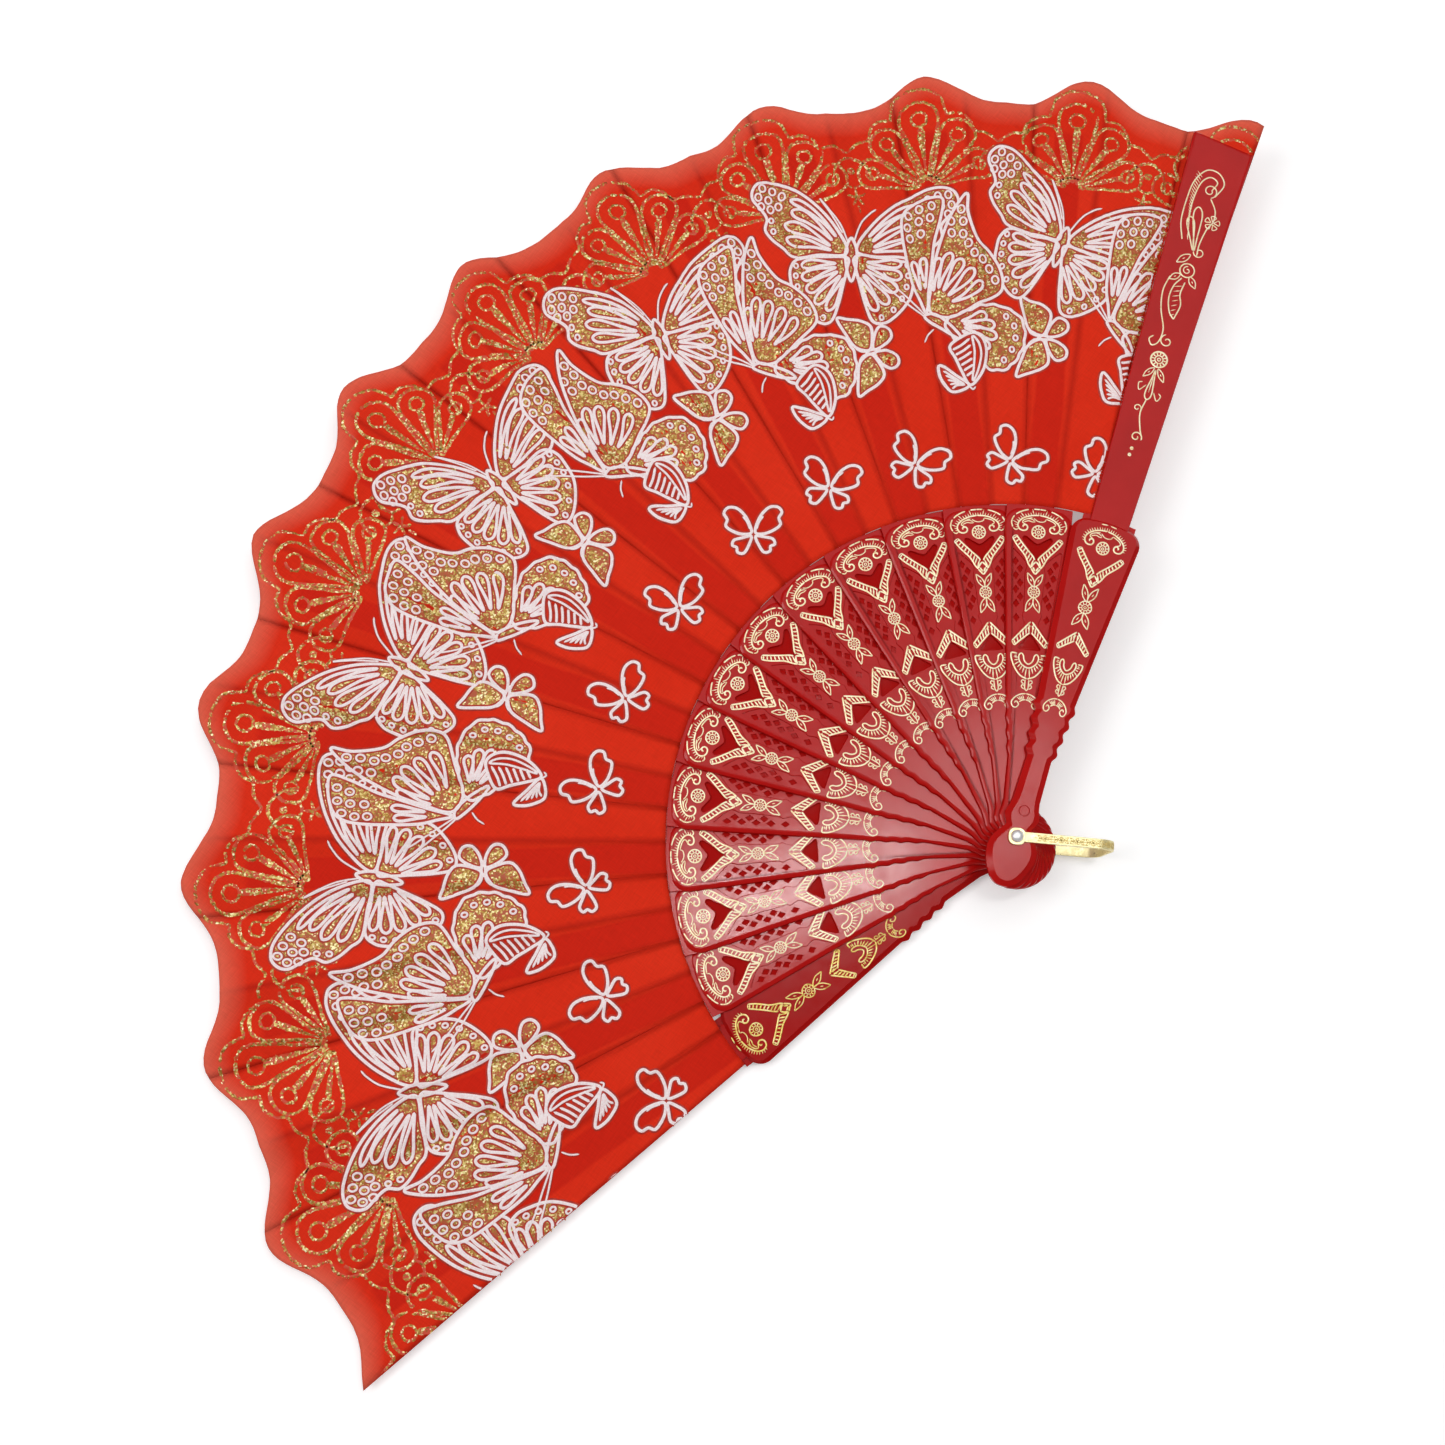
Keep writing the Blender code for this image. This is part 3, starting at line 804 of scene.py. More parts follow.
def striped_butterfly():
    """Small butterfly with half-folded striped wings; y is measured from the wing's middle."""
    m = Motif()
    wing = [(-3.3, 5.1), (0.4, 7.8), (3.8, 8.8), (6.2, 6.6), (6.9, 3.0), (5.6, -2.2), (2.8, -6.0),
            (1.0, -6.4), (-0.6, -2.6), (-2.0, 1.4)]
    m.wing(wing, gold=False)
    for s in (np.arange(6) + 0.4) / 6:
        m.line([(-3.0 + 3.8 * s, 4.6 - 9.6 * s), (-0.4 + 3.4 * s, 5.8 - 9.4 * s),
                (2.6 + 0.6 * s, 8.0 - 11.8 * s)], width=0.72)
    m.line([(3.4, 7.8), (4.9, 5.6), (5.2, 1.6), (3.6, -3.4), (2.2, -5.4), (3.0, -1.0), (3.6, 3.4)], True, 0.6)
    low = [(1.0, -6.6), (-2.4, -3.6), (-6.6, -0.2), (-7.0, -2.8), (-6.0, -5.8), (-4.2, -8.3), (-1.4, -8.2)]
    m.wing(low, gold=False)
    for s in (0.0, 0.25, 0.5, 0.75, 1.0):
        m.line([(0.0, -6.6), (-2.8 + 0.4 * s, -4.4 - 2.2 * s), (-5.9 + 2.0 * s, -2.0 - 5.6 * s)], width=0.62)
    m.line([(0.8, -6.6), (2.0, -8.0), (2.9, -7.2)], width=0.5)
    return m


def outline_butterfly():
    """Small butterfly in outline, head at +y."""
    m = Motif()
    fore = [(0.5, 0.5), (1.8, 4.6), (4.2, 7.3), (6.8, 7.7), (8.1, 6.2), (7.2, 4.4), (7.6, 2.6), (5.6, 1.0),
            (2.8, 0.0)]
    hind = [(0.6, -0.7), (3.0, -0.9), (5.4, -1.5), (5.9, -3.0), (4.7, -3.6), (4.5, -5.0), (2.8, -5.3),
            (1.4, -3.2)]
    for side in SIDES:
        for wing in (fore, hind):
            m.line([(x * side, y) for x, y in wing], True)
        m.line([(x * side, y) for x, y in ((0.9, 1.2), (1.8, 3.6), (3.0, 5.2))], width=0.5)
    return m


def drop_fill(motif, root, tip, width):
    """Glitter drop on a stem, ending in an open ring."""
    side = [(0.12, 0.02), (0.3, 0.05), (0.5, 0.08), (0.62, 0.095), (0.7, 0.08), (0.75, 0.02)]
    motif.area(drawn(root, tip, [(x, width * y) for x, y in side + [(x, -y) for x, y in reversed(side)]]))
    length = np.linalg.norm(np.subtract(tip, root))
    hole = [(0.84 + x / length, y) for x, y in ring((0, 0), (length * 0.1, width * 0.2), 14)]
    motif.sparkle(drawn(root, tip, hole), True)


def palmette():
    """Fan of five long loops; y is measured from its foot."""
    m = Motif()
    for lean, length, width in ((0, 27.0, 11.2), (34, 23.4, 10.2), (-34, 22.6, 10.2), (69, 21.0, 9.0),
                                (-69, 20.6, 9.0)):
        angle = math.radians(lean)
        tip = np.array([math.sin(angle), math.cos(angle)]) * length
        root = tip / length * 2.4
        m.sparkle(petal(root, tip, width), True, width=1.0)
        drop_fill(m, root, tip * 0.93, width)
    m.sparkle([(-4.4, 0.6), (-3.0, 2.6), (0.0, 3.6), (3.0, 2.6), (4.4, 0.6)], width=1.0)
    crown = [(-22.4, 12.4), (-19.0, 15.4), (-15.6, 16.4), (-14.4, 19.6), (-11.6, 22.2), (-8.4, 22.4)]
    arch = [(-8.0, 23.6), (-6.8, 28.0), (-3.4, 30.4), (0.0, 31.0), (3.4, 30.4), (6.8, 28.0), (8.0, 23.6)]
    m.sparkle(crown + arch + [(-x, y) for x, y in reversed(crown)], width=0.85)
    return m


def sprig():
    """Arch between two palmettes, with a dot and a small star under it."""
    m = Motif()
    m.sparkle([(-6.0, 3.6), (-4.4, 8.6), (0.0, 11.2), (4.4, 8.6), (6.0, 3.6)], width=0.95)
    m.area(ring((0.0, 7.0), 1.1, 8))
    centre = np.array([0.0, -1.2])
    for ray in ring((0, 0), 2.9, 5) @ np.array([[0, 1], [-1, 0]]):
        m.sparkle([centre, centre + ray])
    m.sparkle([(-2.2, 2.8), (0.0, 1.9), (2.2, 2.8)])
    m.sparkle([(0.0, -3.4), (0.0, -6.2)])
    return m


RIM_TURN = 0.75
PALMETTE_ALONG = 189.5
SPRIG_ALONG = 190.5
# Rows of pictures: their azimuths, their distance from the pivot, and how far each is turned.
OPEN_ROW = ((30.1, 50.4, 70.3, 91.2, 110.4, 129.9, 149.2, 168.9), 170.3, -14)
GOLD_ROW = ((31.2, 50.9, 70.1, 90.8, 110.1, 129.6, 149.4, 169.0), 143.2, 0)
SIDE_ROW = ((24.06, 43.86, 63.46, 83.36, 104.56, 123.76, 142.56, 161.16), 150.3, -3.3)
STRIPED_ROW = ((20.9, 40.6, 59.0, 80.2, 99.6, 119.2, 138.6, 157.8), 135.6, 0)
OUTLINE_TURN = -38
OUTLINE_PLACES = [(105.7, 22.0), (106.4, 35.0), (107.9, 49.3), (109.9, 62.4), (110.2, 75.5), (111.0, 90.7),
                  (112.1, 105.8), (113.0, 119.1), (116.0, 132.6), (117.7, 147.2), (116.3, 163.0)]


def leaf_motifs():
    """All motifs in place on the leaf, each in front of the ones before it: the rim's, then the others."""
    rim_motifs, pictures = [], []
    rim, arch = palmette(), sprig()
    for i in range(-1, 12):
        azimuth = LOBE_AZIMUTH + LOBE_PERIOD * i + RIM_TURN
        rim_motifs.append(rim.placed(azimuth, PALMETTE_ALONG))
        rim_motifs.append(arch.placed(azimuth + LOBE_PERIOD / 2, SPRIG_ALONG))
    rows = ((open_butterfly(), OPEN_ROW), (gold_butterfly(), GOLD_ROW),
            (side_butterfly(), SIDE_ROW), (striped_butterfly(), STRIPED_ROW))
    for motif, (azimuths, along, degrees) in rows:
        pictures += [motif.placed(azimuth, along, degrees) for azimuth in azimuths]
    outlined = outline_butterfly()
    pictures += [outlined.placed(azimuth, along, OUTLINE_TURN) for along, azimuth in OUTLINE_PLACES]
    return rim_motifs, pictures


def within(points, outline):
    """True for each point that lies in the outline."""
    x, y = points[:, :1], points[:, 1:]
    px, py = outline.T
    qx, qy = np.roll(px, -1), np.roll(py, -1)
    crosses = ((py > y) != (qy > y)) & (x < (qx - px) * (y - py) / np.where(qy == py, 1e-9, qy - py) + px)
    return crosses.sum(1) % 2 == 1


def uncovered(faces, owners, points, motifs):
    """True for each face that no later motif hides."""
    keep = np.ones(len(faces), bool)
    middle = points[faces].mean(1)
    for index, motif in enumerate(motifs):
        for cover in motif.covers:
            near = np.abs(middle - cover.mean(0)).max(1) < COVER_REACH
            near &= owners < index
            chosen = np.flatnonzero(near)
            keep[chosen[within(middle[chosen], cover)]] = False
    return keep


def leaf_strips():
    """Every line and area as one set of ribbons in plan, without what the motifs in front hide."""
    strips = Strips()
    rim, pictures = leaf_motifs()
    quad_owners, tri_owners = [], []
    for index, motif in enumerate(rim + pictures):
        gold = RIM_GLITTER_MAT if index < len(rim) else GLITTER_MAT
        quads, tris = len(strips.quads), len(strips.tris)
        for outline in motif.areas:
            strips.fill(outline, AREA_LIFT, gold, jitter=AREA_JITTER)
        for points, closed, width in motif.glitter:
            strips.ribbon(points, closed, GLITTER, width, GLITTER_HEIGHT, base=GLITTER_BASE,
                          jitter=GLITTER_JITTER, shift=gold)
        for points, closed, width in motif.lines:
            strips.ribbon(points, closed, PUFF, width, PRINT_HEIGHT - HEIGHT_SPREAD * rng.random())
        quad_owners += [np.full(len(q), index) for q in strips.quads[quads:]]
        tri_owners += [np.full(len(t), index) for t in strips.tris[tris:]]
    points, lifts, quads, quad_mats, tris, tri_mats = strips.arrays()
    keep_quads = uncovered(quads, np.concatenate(quad_owners), points, rim + pictures)
    keep_tris = uncovered(tris, np.concatenate(tri_owners), points, rim + pictures)
    return points, lifts, quads[keep_quads], quad_mats[keep_quads], tris[keep_tris], tri_mats[keep_tris]


def under_bar(azimuth, along):
    """True where the front guard's bar covers the leaf."""
    across = np.radians(np.abs(azimuth - AZIMUTHS[LAST])) * along
    half = BAR_HALF + (BAR_TIP_HALF - BAR_HALF) * (along - BAR_START) / (BAR_END - BAR_START)
    return (across < half + PRINT_GAP) & (along < BAR_END + 1)


def printed(azimuth, along):
    """True where the leaf takes a print: inside its edges, and not under the bar."""
    keep = (along > LEAF_INNER + PRINT_GAP) & (along < rim_radius(azimuth) - RIM_GAP)
    keep &= (azimuth < GORE_STARTS[0] - REAR_GAP) & (azimuth > AZIMUTHS[LAST] - FRONT_HEM + FRONT_GAP)
    return keep & ~under_bar(azimuth, along)


def make_prints(materials):
    """The prints, cut along the folds into one piece for each gore."""
    points, lifts, quads, quad_mats, tris, tri_mats = leaf_strips()
    azimuth, along = polar(points)
    height = leaf_height(np.clip(azimuth, AZIMUTHS[LAST] - FRONT_HEM, GORE_STARTS[0]), along) + lifts
    solid = np.column_stack([points, height])

    def gores_of(faces):
        """Gore of each face, or -1 where the leaf takes no print."""
        places = polar(points[faces].mean(1))
        return np.where(printed(*places), gore_of(places[0]), -1)

    quad_gores, tri_gores = gores_of(quads), gores_of(tris)
    for k in range(LAST + 1):
        q, t = quads[quad_gores == k], tris[tri_gores == k]
        if not len(q) and not len(t):
            continue
        used, index = np.unique(np.concatenate([t.ravel(), q.ravel()]), return_inverse=True)
        index = index.ravel()
        sides = [index[:t.size].reshape(-1, 3), index[t.size:].reshape(-1, 4)]
        mats = np.concatenate([tri_mats[tri_gores == k], quad_mats[quad_gores == k]])
        mesh = build_mesh("print_%02d" % k, solid[used], sides, materials, mats)
        obj = add_object("leaf_print_%02d" % k, mesh)
        bend_with(obj, k)


# ---- Blades --------------------------------------------------------------------------------------------

def blade_side(head_half, head_top, wave):
    """One side of a blade, from the point of its tail to the crown of its head."""
    side = list(smooth_curve(TAIL_SIDE + [(NECK_START, NECK_HALF + NECK_FLARE)], step=1.1))
    for share in np.linspace(0, 1, WAVE_COUNT * WAVE_STEPS + 1):
        half = NECK_HALF + (BODY_HALF - NECK_HALF) * share
        ripple = wave * math.sin(math.pi * WAVE_COUNT * share) ** 2
        side.append((WAVE_START + (WAVE_END - WAVE_START) * share, half + ripple))
    flat = head_half - HEAD_CORNER
    side += list(arc((head_top - HEAD_CROWN - HEAD_CORNER, flat), HEAD_CORNER, 90, 0, 10))
    return side + [(head_top - HEAD_CROWN * share ** 2, flat * share) for share in (0.8, 0.6, 0.4, 0.2, 0.0)]


def mirrored(side):
    """Closed outline from one side; a point on the axis is used once."""
    return side + [(x, -y) for x, y in reversed(side) if y > 1e-9]


def body_half(along):
    """Half the width of an inner stick between its waved neck and its head."""
    corner = STICK_HEAD_TOP - HEAD_CROWN - HEAD_CORNER
    return BODY_HALF + (STICK_HEAD_HALF - BODY_HALF) * (along - WAVE_END) / (corner - WAVE_END)


PANEL_INNER = [(55.3, 4.6), (56.4, 3.9), (58.4, 2.4), (59.4, 1.95), (60.6, 2.3), (61.8, 2.75), (62.8, 2.4),
               (65.0, 2.5), (69.3, 2.6), (73.6, 2.9), (75.6, 2.45), (76.6, 2.7), (78.2, 4.1), (79.6, 5.6),
               (80.3, 6.4)]
PANEL_BORDER = 1.85
HOLE_PITCH = 4.0
HOLE_COLUMNS = ((1.15, 1.6), (2.35, 3.6))
HOLE_MARGIN = 1.08
DIAMOND = (1.15, 0.86)
NET_HEIGHTS = (0.28, STICK_THICKNESS - 0.38)
RECESS_HEIGHTS = (0.08, 0.3)


def panel_outline(side, grow=0.0):
    """Window for the lattice beside the flowers: a waved inner edge, and an outer one along the stick's."""
    inner = smooth_curve(PANEL_INNER, step=0.9)
    outer = [(x, body_half(x) - PANEL_BORDER + grow) for x in np.linspace(inner[-1][0], inner[0][0], 12)]
    return [(x, side * y) for x, y in [(x, y - grow) for x, y in inner] + outer]


def lattice_holes(side):
    """Diamond holes in two staggered columns that follow the stick's edge."""
    inner = np.array(PANEL_INNER)
    long, wide = DIAMOND
    lean = side * math.degrees(math.atan(body_half(80.0) - body_half(79.0)))
    holes = []
    for border, first in HOLE_COLUMNS:
        for along in np.arange(inner[0][0] + first, inner[-1][0], HOLE_PITCH):
            across = body_half(along) - PANEL_BORDER - border
            if across - wide * HOLE_MARGIN > np.interp(along, inner[:, 0], inner[:, 1]):
                diamond = [(long, 0), (0, wide), (-long, 0), (0, -wide)]
                holes.append(turned(diamond, lean, (along, side * across)))
    return holes


def rounded(loop, radius, steps=4):
    """Closed loop with its corners rounded off."""
    out = []
    for i, corner in enumerate(loop):
        before, corner, after = np.array(loop[i - 1]), np.array(corner), np.array(loop[(i + 1) % len(loop)])
        start, end = before - corner, after - corner
        start = corner + start * min(radius / np.linalg.norm(start), 0.45)
        end = corner + end * min(radius / np.linalg.norm(end), 0.45)
        out += [(1 - t) ** 2 * start + 2 * t * (1 - t) * corner + t ** 2 * end
                for t in np.linspace(0, 1, steps)]
    return out


def slip_outline(half=SHOULDER_HALF):
    """Shoulder under the leaf's inner edge, and the slip beyond it."""
    reach = LEAF_INNER - 0.02
    corner, inner = (math.degrees(math.asin(width / reach)) for width in (half, SLIP_HALF))
    tip = SLIP_END - SLIP_TIP_HALF
    side = [(SHOULDER_START, half - HEAD_CORNER), (SHOULDER_START + 2.3, half)]
    side += list(arc((0, 0), reach, corner, inner, 8)) + [(tip, SLIP_TIP_HALF)]
    side += list(arc((tip, 0), SLIP_TIP_HALF, 75, 15, 4)) + [(SLIP_END, 0.0)]
    return mirrored(side)


def rolled_edge(points, outline, high, bevel, width, depth):
    """Widen the rounding round a plate's upper outline into a rolled edge."""
    loop = np.array(outline, float)
    turn = np.sum(loop[:, 0] * np.roll(loop[:, 1], -1) - np.roll(loop[:, 0], -1) * loop[:, 1])
    outward = -left_of(directions(loop)) * np.sign(turn)
    gap = np.linalg.norm(points[:, None, :2] - loop[None], axis=2)
    edge = (gap.min(1) < bevel * 1.7) & (points[:, 2] > high - bevel * 1.01)
    climb = np.clip((points[:, 2] - high + bevel) / bevel, 0, 1)
    shift = 1 - np.sqrt(1 - climb ** 2)
    points[:, :2] -= np.where(edge, shift * width, 0.0)[:, None] * outward[gap.argmin(1)]
    points[:, 2] = np.where(edge, high - depth * (1 - climb), points[:, 2])
    return points


EDGE_BEVEL = 0.18
STICK_ROLL = 1.2
STICK_ROLL_DEPTH = 0.72
CHAMFER = 1.6
CHAMFER_DEPTH = 0.9
CROWN_CHAMFER = 0.8
GUARD_SHOULDER = 7.6


def stick_mesh(material):
    """Inner stick: cut-out blade with lattice panels, and the thin shoulder and slip beyond its head."""
    outline = mirrored(blade_side(STICK_HEAD_HALF, STICK_HEAD_TOP, STICK_WAVE))
    pockets = [rounded(mirrored(HEART), 0.9), rounded(mirrored(TRIANGLE), 1.1)]
    windows = [panel_outline(side) for side in SIDES]
    points, faces = slab([outline, ring((0, 0), HOLE_RADIUS, 32)] + pockets + windows, 0.0, STICK_THICKNESS,
                         EDGE_BEVEL, lift=0.1)
    points = rolled_edge(points, outline, STICK_THICKNESS, EDGE_BEVEL, STICK_ROLL, STICK_ROLL_DEPTH)
    parts = [(points, faces)]
    for side in SIDES:
        parts.append(slab([panel_outline(side, 0.15)] + lattice_holes(side), *NET_HEIGHTS, 0.1, rounds=1))
    parts.append(slab([slip_outline()], SLIP_LOW, SLIP_HIGH, 0.1))
    points, faces = joined(parts)
    return sharpen(build_mesh("stick", points, faces, [material]))


def pocket_floor_mesh(material):
    """Thin plate inside the stick that closes its pockets and the lattice from behind."""
    ends = TRIANGLE[1][0] - 1.0, HEART[2][0] + 1.0
    side = [(x, body_half(x) - PANEL_BORDER / 2) for x in ends]
    points, faces = slab([mirrored(side)], *RECESS_HEIGHTS, 0.04)
    return build_mesh("pocket_floor", points, faces, [material])


def guard_mesh(bar_top, material):
    """Guard: wide chamfers round its head, neck and tail, and the thinner bar beyond the head."""
    outline = np.array(mirrored(blade_side(GUARD_HEAD_HALF, GUARD_HEAD_TOP, GUARD_WAVE))[::-1])
    crown = np.clip((outline[:, 0] - GUARD_HEAD_TOP + 6) / 4, 0, 1)
    inner = inset(outline, CHAMFER - (CHAMFER - CROWN_CHAMFER) * crown)
    bar = [(BAR_START, BAR_HALF), (BAR_END + BAR_SLANT, BAR_TIP_HALF),
           (BAR_END - BAR_SLANT, -BAR_TIP_HALF), (BAR_START, -BAR_HALF)]
    points, faces = joined([
        plate([(outline, 0.0), (outline, GUARD_TOP - CHAMFER_DEPTH), (inner, GUARD_TOP)]),
        slab([bar], SLIP_LOW, bar_top, 0.7, drop=0.3, lift=0.1, rounds=1),
        slab([slip_outline(GUARD_SHOULDER)], SLIP_LOW, SLIP_HIGH, 0.1)])
    return sharpen(build_mesh("guard", points, faces, [material]), 20)


# ---- Foil on the blades --------------------------------------------------------------------------------
# Drawn with x along the blade and y across it.

FOIL_WIDTH = 0.42
FOIL_HEIGHT = 0.05
FOIL_SPREAD = 0.012
FOIL_BASE = -0.01
FOIL_TAPER = 0.2


class Foil:
    """Foil lines on one face."""

    def __init__(self):
        self.lines = []

    def line(self, points, closed=False, width=FOIL_WIDTH, step=0.35):
        """Smooth foil line."""
        self.lines.append((smooth_curve(points, closed, step), closed, width))

    def straight(self, p, q, width):
        """Straight foil line."""
        self.lines.append((np.linspace(p, q, 3), False, width))

    def both(self, points, width=FOIL_WIDTH):
        """A line and its mirror image across the blade's axis."""
        for side in SIDES:
            self.line(flipped(points, side), width=width)

    def rungs(self, start, end, count, width, reach=1.0, every=0, sides=SIDES):
        """Lines from one curve towards another, of which each every-th goes all the way."""
        for side in sides:
            a, b = (smooth_curve(flipped(points, side), step=0.1) for points in (start, end))
            for i in range(count):
                share = (i + 0.5) / count
                p, q = a[int(share * (len(a) - 1))], b[int(share * (len(b) - 1))]
                part = 1.0 if every and i % every == every // 2 else reach
                self.straight(p, p + (q - p) * part, width)

    def ladder(self, outer, inner, count):
        """Two rails on each side of the axis, with rungs between them."""
        for side in SIDES:
            for rail in (outer, inner):
                self.line(flipped(rail, side), width=0.46)
            self.rungs(outer, inner, count, 0.48, sides=[side])

    def flower(self, centre, radius, petals=12):
        """Filled disc with radial slits and a small ring at its middle."""
        self.line(ring(centre, radius * 0.17, 10), True, radius * 0.13)
        self.line(ring(centre, radius * 0.45, 16), True, radius * 0.15)
        for ray in ring((0, 0), radius, petals):
            self.straight(centre + ray * 0.48, centre + ray * 0.9, radius * 0.2)
        self.line(ring(centre, radius * 0.9, 28), True, radius * 0.2)

    def leaf(self, root, tip, width):
        """Outlined leaf with a bead in it."""
        root, tip = np.array(root, float), np.array(tip, float)
        self.line(lens(root, tip, width), True, 0.34, step=0.3)
        self.straight(root * 0.62 + tip * 0.38, root * 0.42 + tip * 0.58, 0.34)

    def warped(self, places, shift=(0.0, 0.0)):
        """The same lines with other places along the blade; places are (from, to, scale across)."""
        before, after, scale = np.array(places).T
        out = Foil()
        for points, closed, width in self.lines:
            x = np.interp(points[:, 0], before, after)
            y = points[:, 1] * np.interp(points[:, 0], before, scale)
            out.lines.append((np.stack([x, y], 1) + shift, closed, width))
        return out


def head_crest(foil, outlined):
    """Arch that follows the head's top: ticks on a scrolled band, and a broken line outside them."""
    arch = [(90.6, 0), (90.3, 2.2), (89.5, 4.2), (88.4, 5.5), (87.2, 5.9), (86.2, 5.4)]
    outside = [(92.3, 0), (92.1, 2.6), (91.2, 5.2), (89.8, 7.0), (88.0, 7.7), (86.3, 7.2)]
    curl = [(86.2, 5.4), (85.8, 4.5), (86.0, 3.5), (86.8, 3.1), (87.5, 3.6), (87.2, 4.4), (86.7, 4.3)]
    lower = [(87.5, 3.6), (88.1, 4.6), (88.8, 4.3), (89.4, 3.0), (89.7, 1.9)]
    foil.both(arch + curl[1:], width=0.46)
    foil.both(lower, width=0.34)
    for side in SIDES:
        foil.rungs(arch, outside, 13, 0.27, 0.5, 4 if outlined else 0, [side])
        if outlined:
            line = smooth_curve(flipped(outside, side), step=0.15)
            for start, end in ((0.0, 0.2), (0.29, 0.66), (0.68, 1.0)):
                foil.line(line[int(start * len(line)):int(end * len(line)):3], width=0.4)
            foil.line([(86.3, side * 7.2), (85.8, side * 6.4), (86.2, side * 5.6)], width=0.36)
        else:
            foil.line([(92.2, side * 0.4), (92.0, side * 2.4)], width=0.36)
    foil.line([(89.7, -1.9), (89.0, -1.6), (88.7, -0.5), (88.9, 0.6), (89.6, 1.6)], width=0.3)
    foil.line([(88.6, 1.0), (88.5, 1.9), (88.7, 3.0), (88.2, 4.3)], width=0.3)
    foil.line([(88.8, 1.2), (89.3, 2.2), (89.3, 3.2)], width=0.28)


def fan_panel(foil):
    """Shell of ribs round a U, and the stem, leaves and arch below it."""
    cup = [(48.0, 0), (48.4, 0.75), (49.3, 1.3), (50.3, 1.5), (50.9, 2.1), (50.3, 2.7), (49.0, 2.6),
           (47.7, 1.7), (46.9, 0)]
    foil.line(cup + [(x, -y) for x, y in cup[-2:0:-1]], True, 0.4)
    shell = [(50.7, 3.2), (50.8, 4.7), (50.2, 4.9), (48.7, 4.6), (46.3, 3.4), (44.6, 1.9), (43.8, 0)]
    foil.both(shell, width=0.44)
    foil.both([(50.2, 3.2), (50.0, 4.0)], width=0.3)
    foil.rungs([(49.9, 2.8), (49.0, 2.7), (47.7, 1.8), (46.9, 0)], shell[2:], 7, 0.38, 0.66, 4)
    foil.both([(43.7, 0.5), (42.4, 0.5), (41.2, 0.45), (40.4, 0)], width=0.34)
    foil.both([(43.2, 0.6), (43.5, 1.2), (42.9, 1.5), (42.2, 0.7)], width=0.32)
    foil.both([(41.8, 0.6), (42.1, 1.2), (41.5, 1.4), (40.9, 0.6)], width=0.32)
    arch = [(39.7, 0), (39.4, 1.5), (38.4, 3.0), (37.0, 3.8), (35.8, 3.3), (35.7, 2.4), (36.6, 1.8),
            (37.4, 2.5), (36.8, 3.0)]
    foil.both(arch, width=0.36)
    foil.both([(38.0, 0), (37.8, 0.9), (37.2, 1.7)], width=0.34)
    foil.rungs([(38.0, 0.3), (37.6, 1.3)], [(39.4, 0.6), (38.4, 2.8)], 4, 0.32)


def blade_foil(outlined=True):
    """The ornament of one stick."""
    foil = Foil()
    head_crest(foil, outlined)
    foil.flower(np.array([85.75, 0]), 2.0, 10)
    foil.ladder([(75.2, 1.3), (76.4, 2.1), (78.6, 3.2), (81.6, 5.8), (83.6, 7.1)],
                [(77.6, 0.4), (78.6, 1.0), (80.3, 2.6), (82.3, 4.4), (84.3, 6.1)], 9)
    foil.both([(73.5, 0.0), (75.2, 1.3)], width=0.5)
    foil.both([(77.2, 0.0), (76.2, 0.9), (75.4, 1.2)], width=0.5)
    foil.both([(74.4, 0.1), (75.6, 0.8)], width=0.5)
    for side in SIDES:
        foil.straight((83.6, side * 7.1), (84.3, side * 6.1), 0.4)
    foil.flower(np.array([68.5, 0]), 1.75, 10)
    for side in SIDES:
        foil.leaf((70.0, side * 0.1), (73.7, side * 2.1), 1.5)
        foil.leaf((66.9, side * 0.1), (62.8, side * 1.9), 1.6)
    foil.ladder([(60.0, 0.2), (57.2, 2.5), (54.1, 5.0)], [(56.9, 0.2), (55.0, 2.2), (52.9, 4.3)], 6)
    foil.both([(54.1, 5.0), (52.9, 4.3)], width=0.4)
    foil.both([(58.9, 0.2), (57.9, 0.9)], width=0.45)
    fan_panel(foil)
    return foil


GUARD_PLACES = [(34.0, 33.6, 0.85), (43.7, 43.7, 0.82), (50.9, 50.7, 0.82), (52.9, 53.2, 0.92),
                (60.1, 59.3, 0.92), (62.8, 60.8, 1.15), (68.5, 66.5, 1.15), (73.5, 72.6, 1.0),
                (84.0, 82.6, 0.95), (85.9, 84.3, 0.95), (92.3, 91.3, 0.93)]


def foil_mesh(foil, height, name, material):
    """Raised mesh of a foil drawing on a face at a height."""
    strips = Strips()
    for points, closed, width in foil.lines:
        height_here = FOIL_HEIGHT + FOIL_SPREAD * rng.random()
        strips.ribbon(points, closed, FOIL, width, height_here, base=FOIL_BASE, taper=FOIL_TAPER)
    points, lifts, quads = strips.arrays()[:3]
    return build_mesh(name, np.column_stack([points, lifts + height]), [quads], [material])


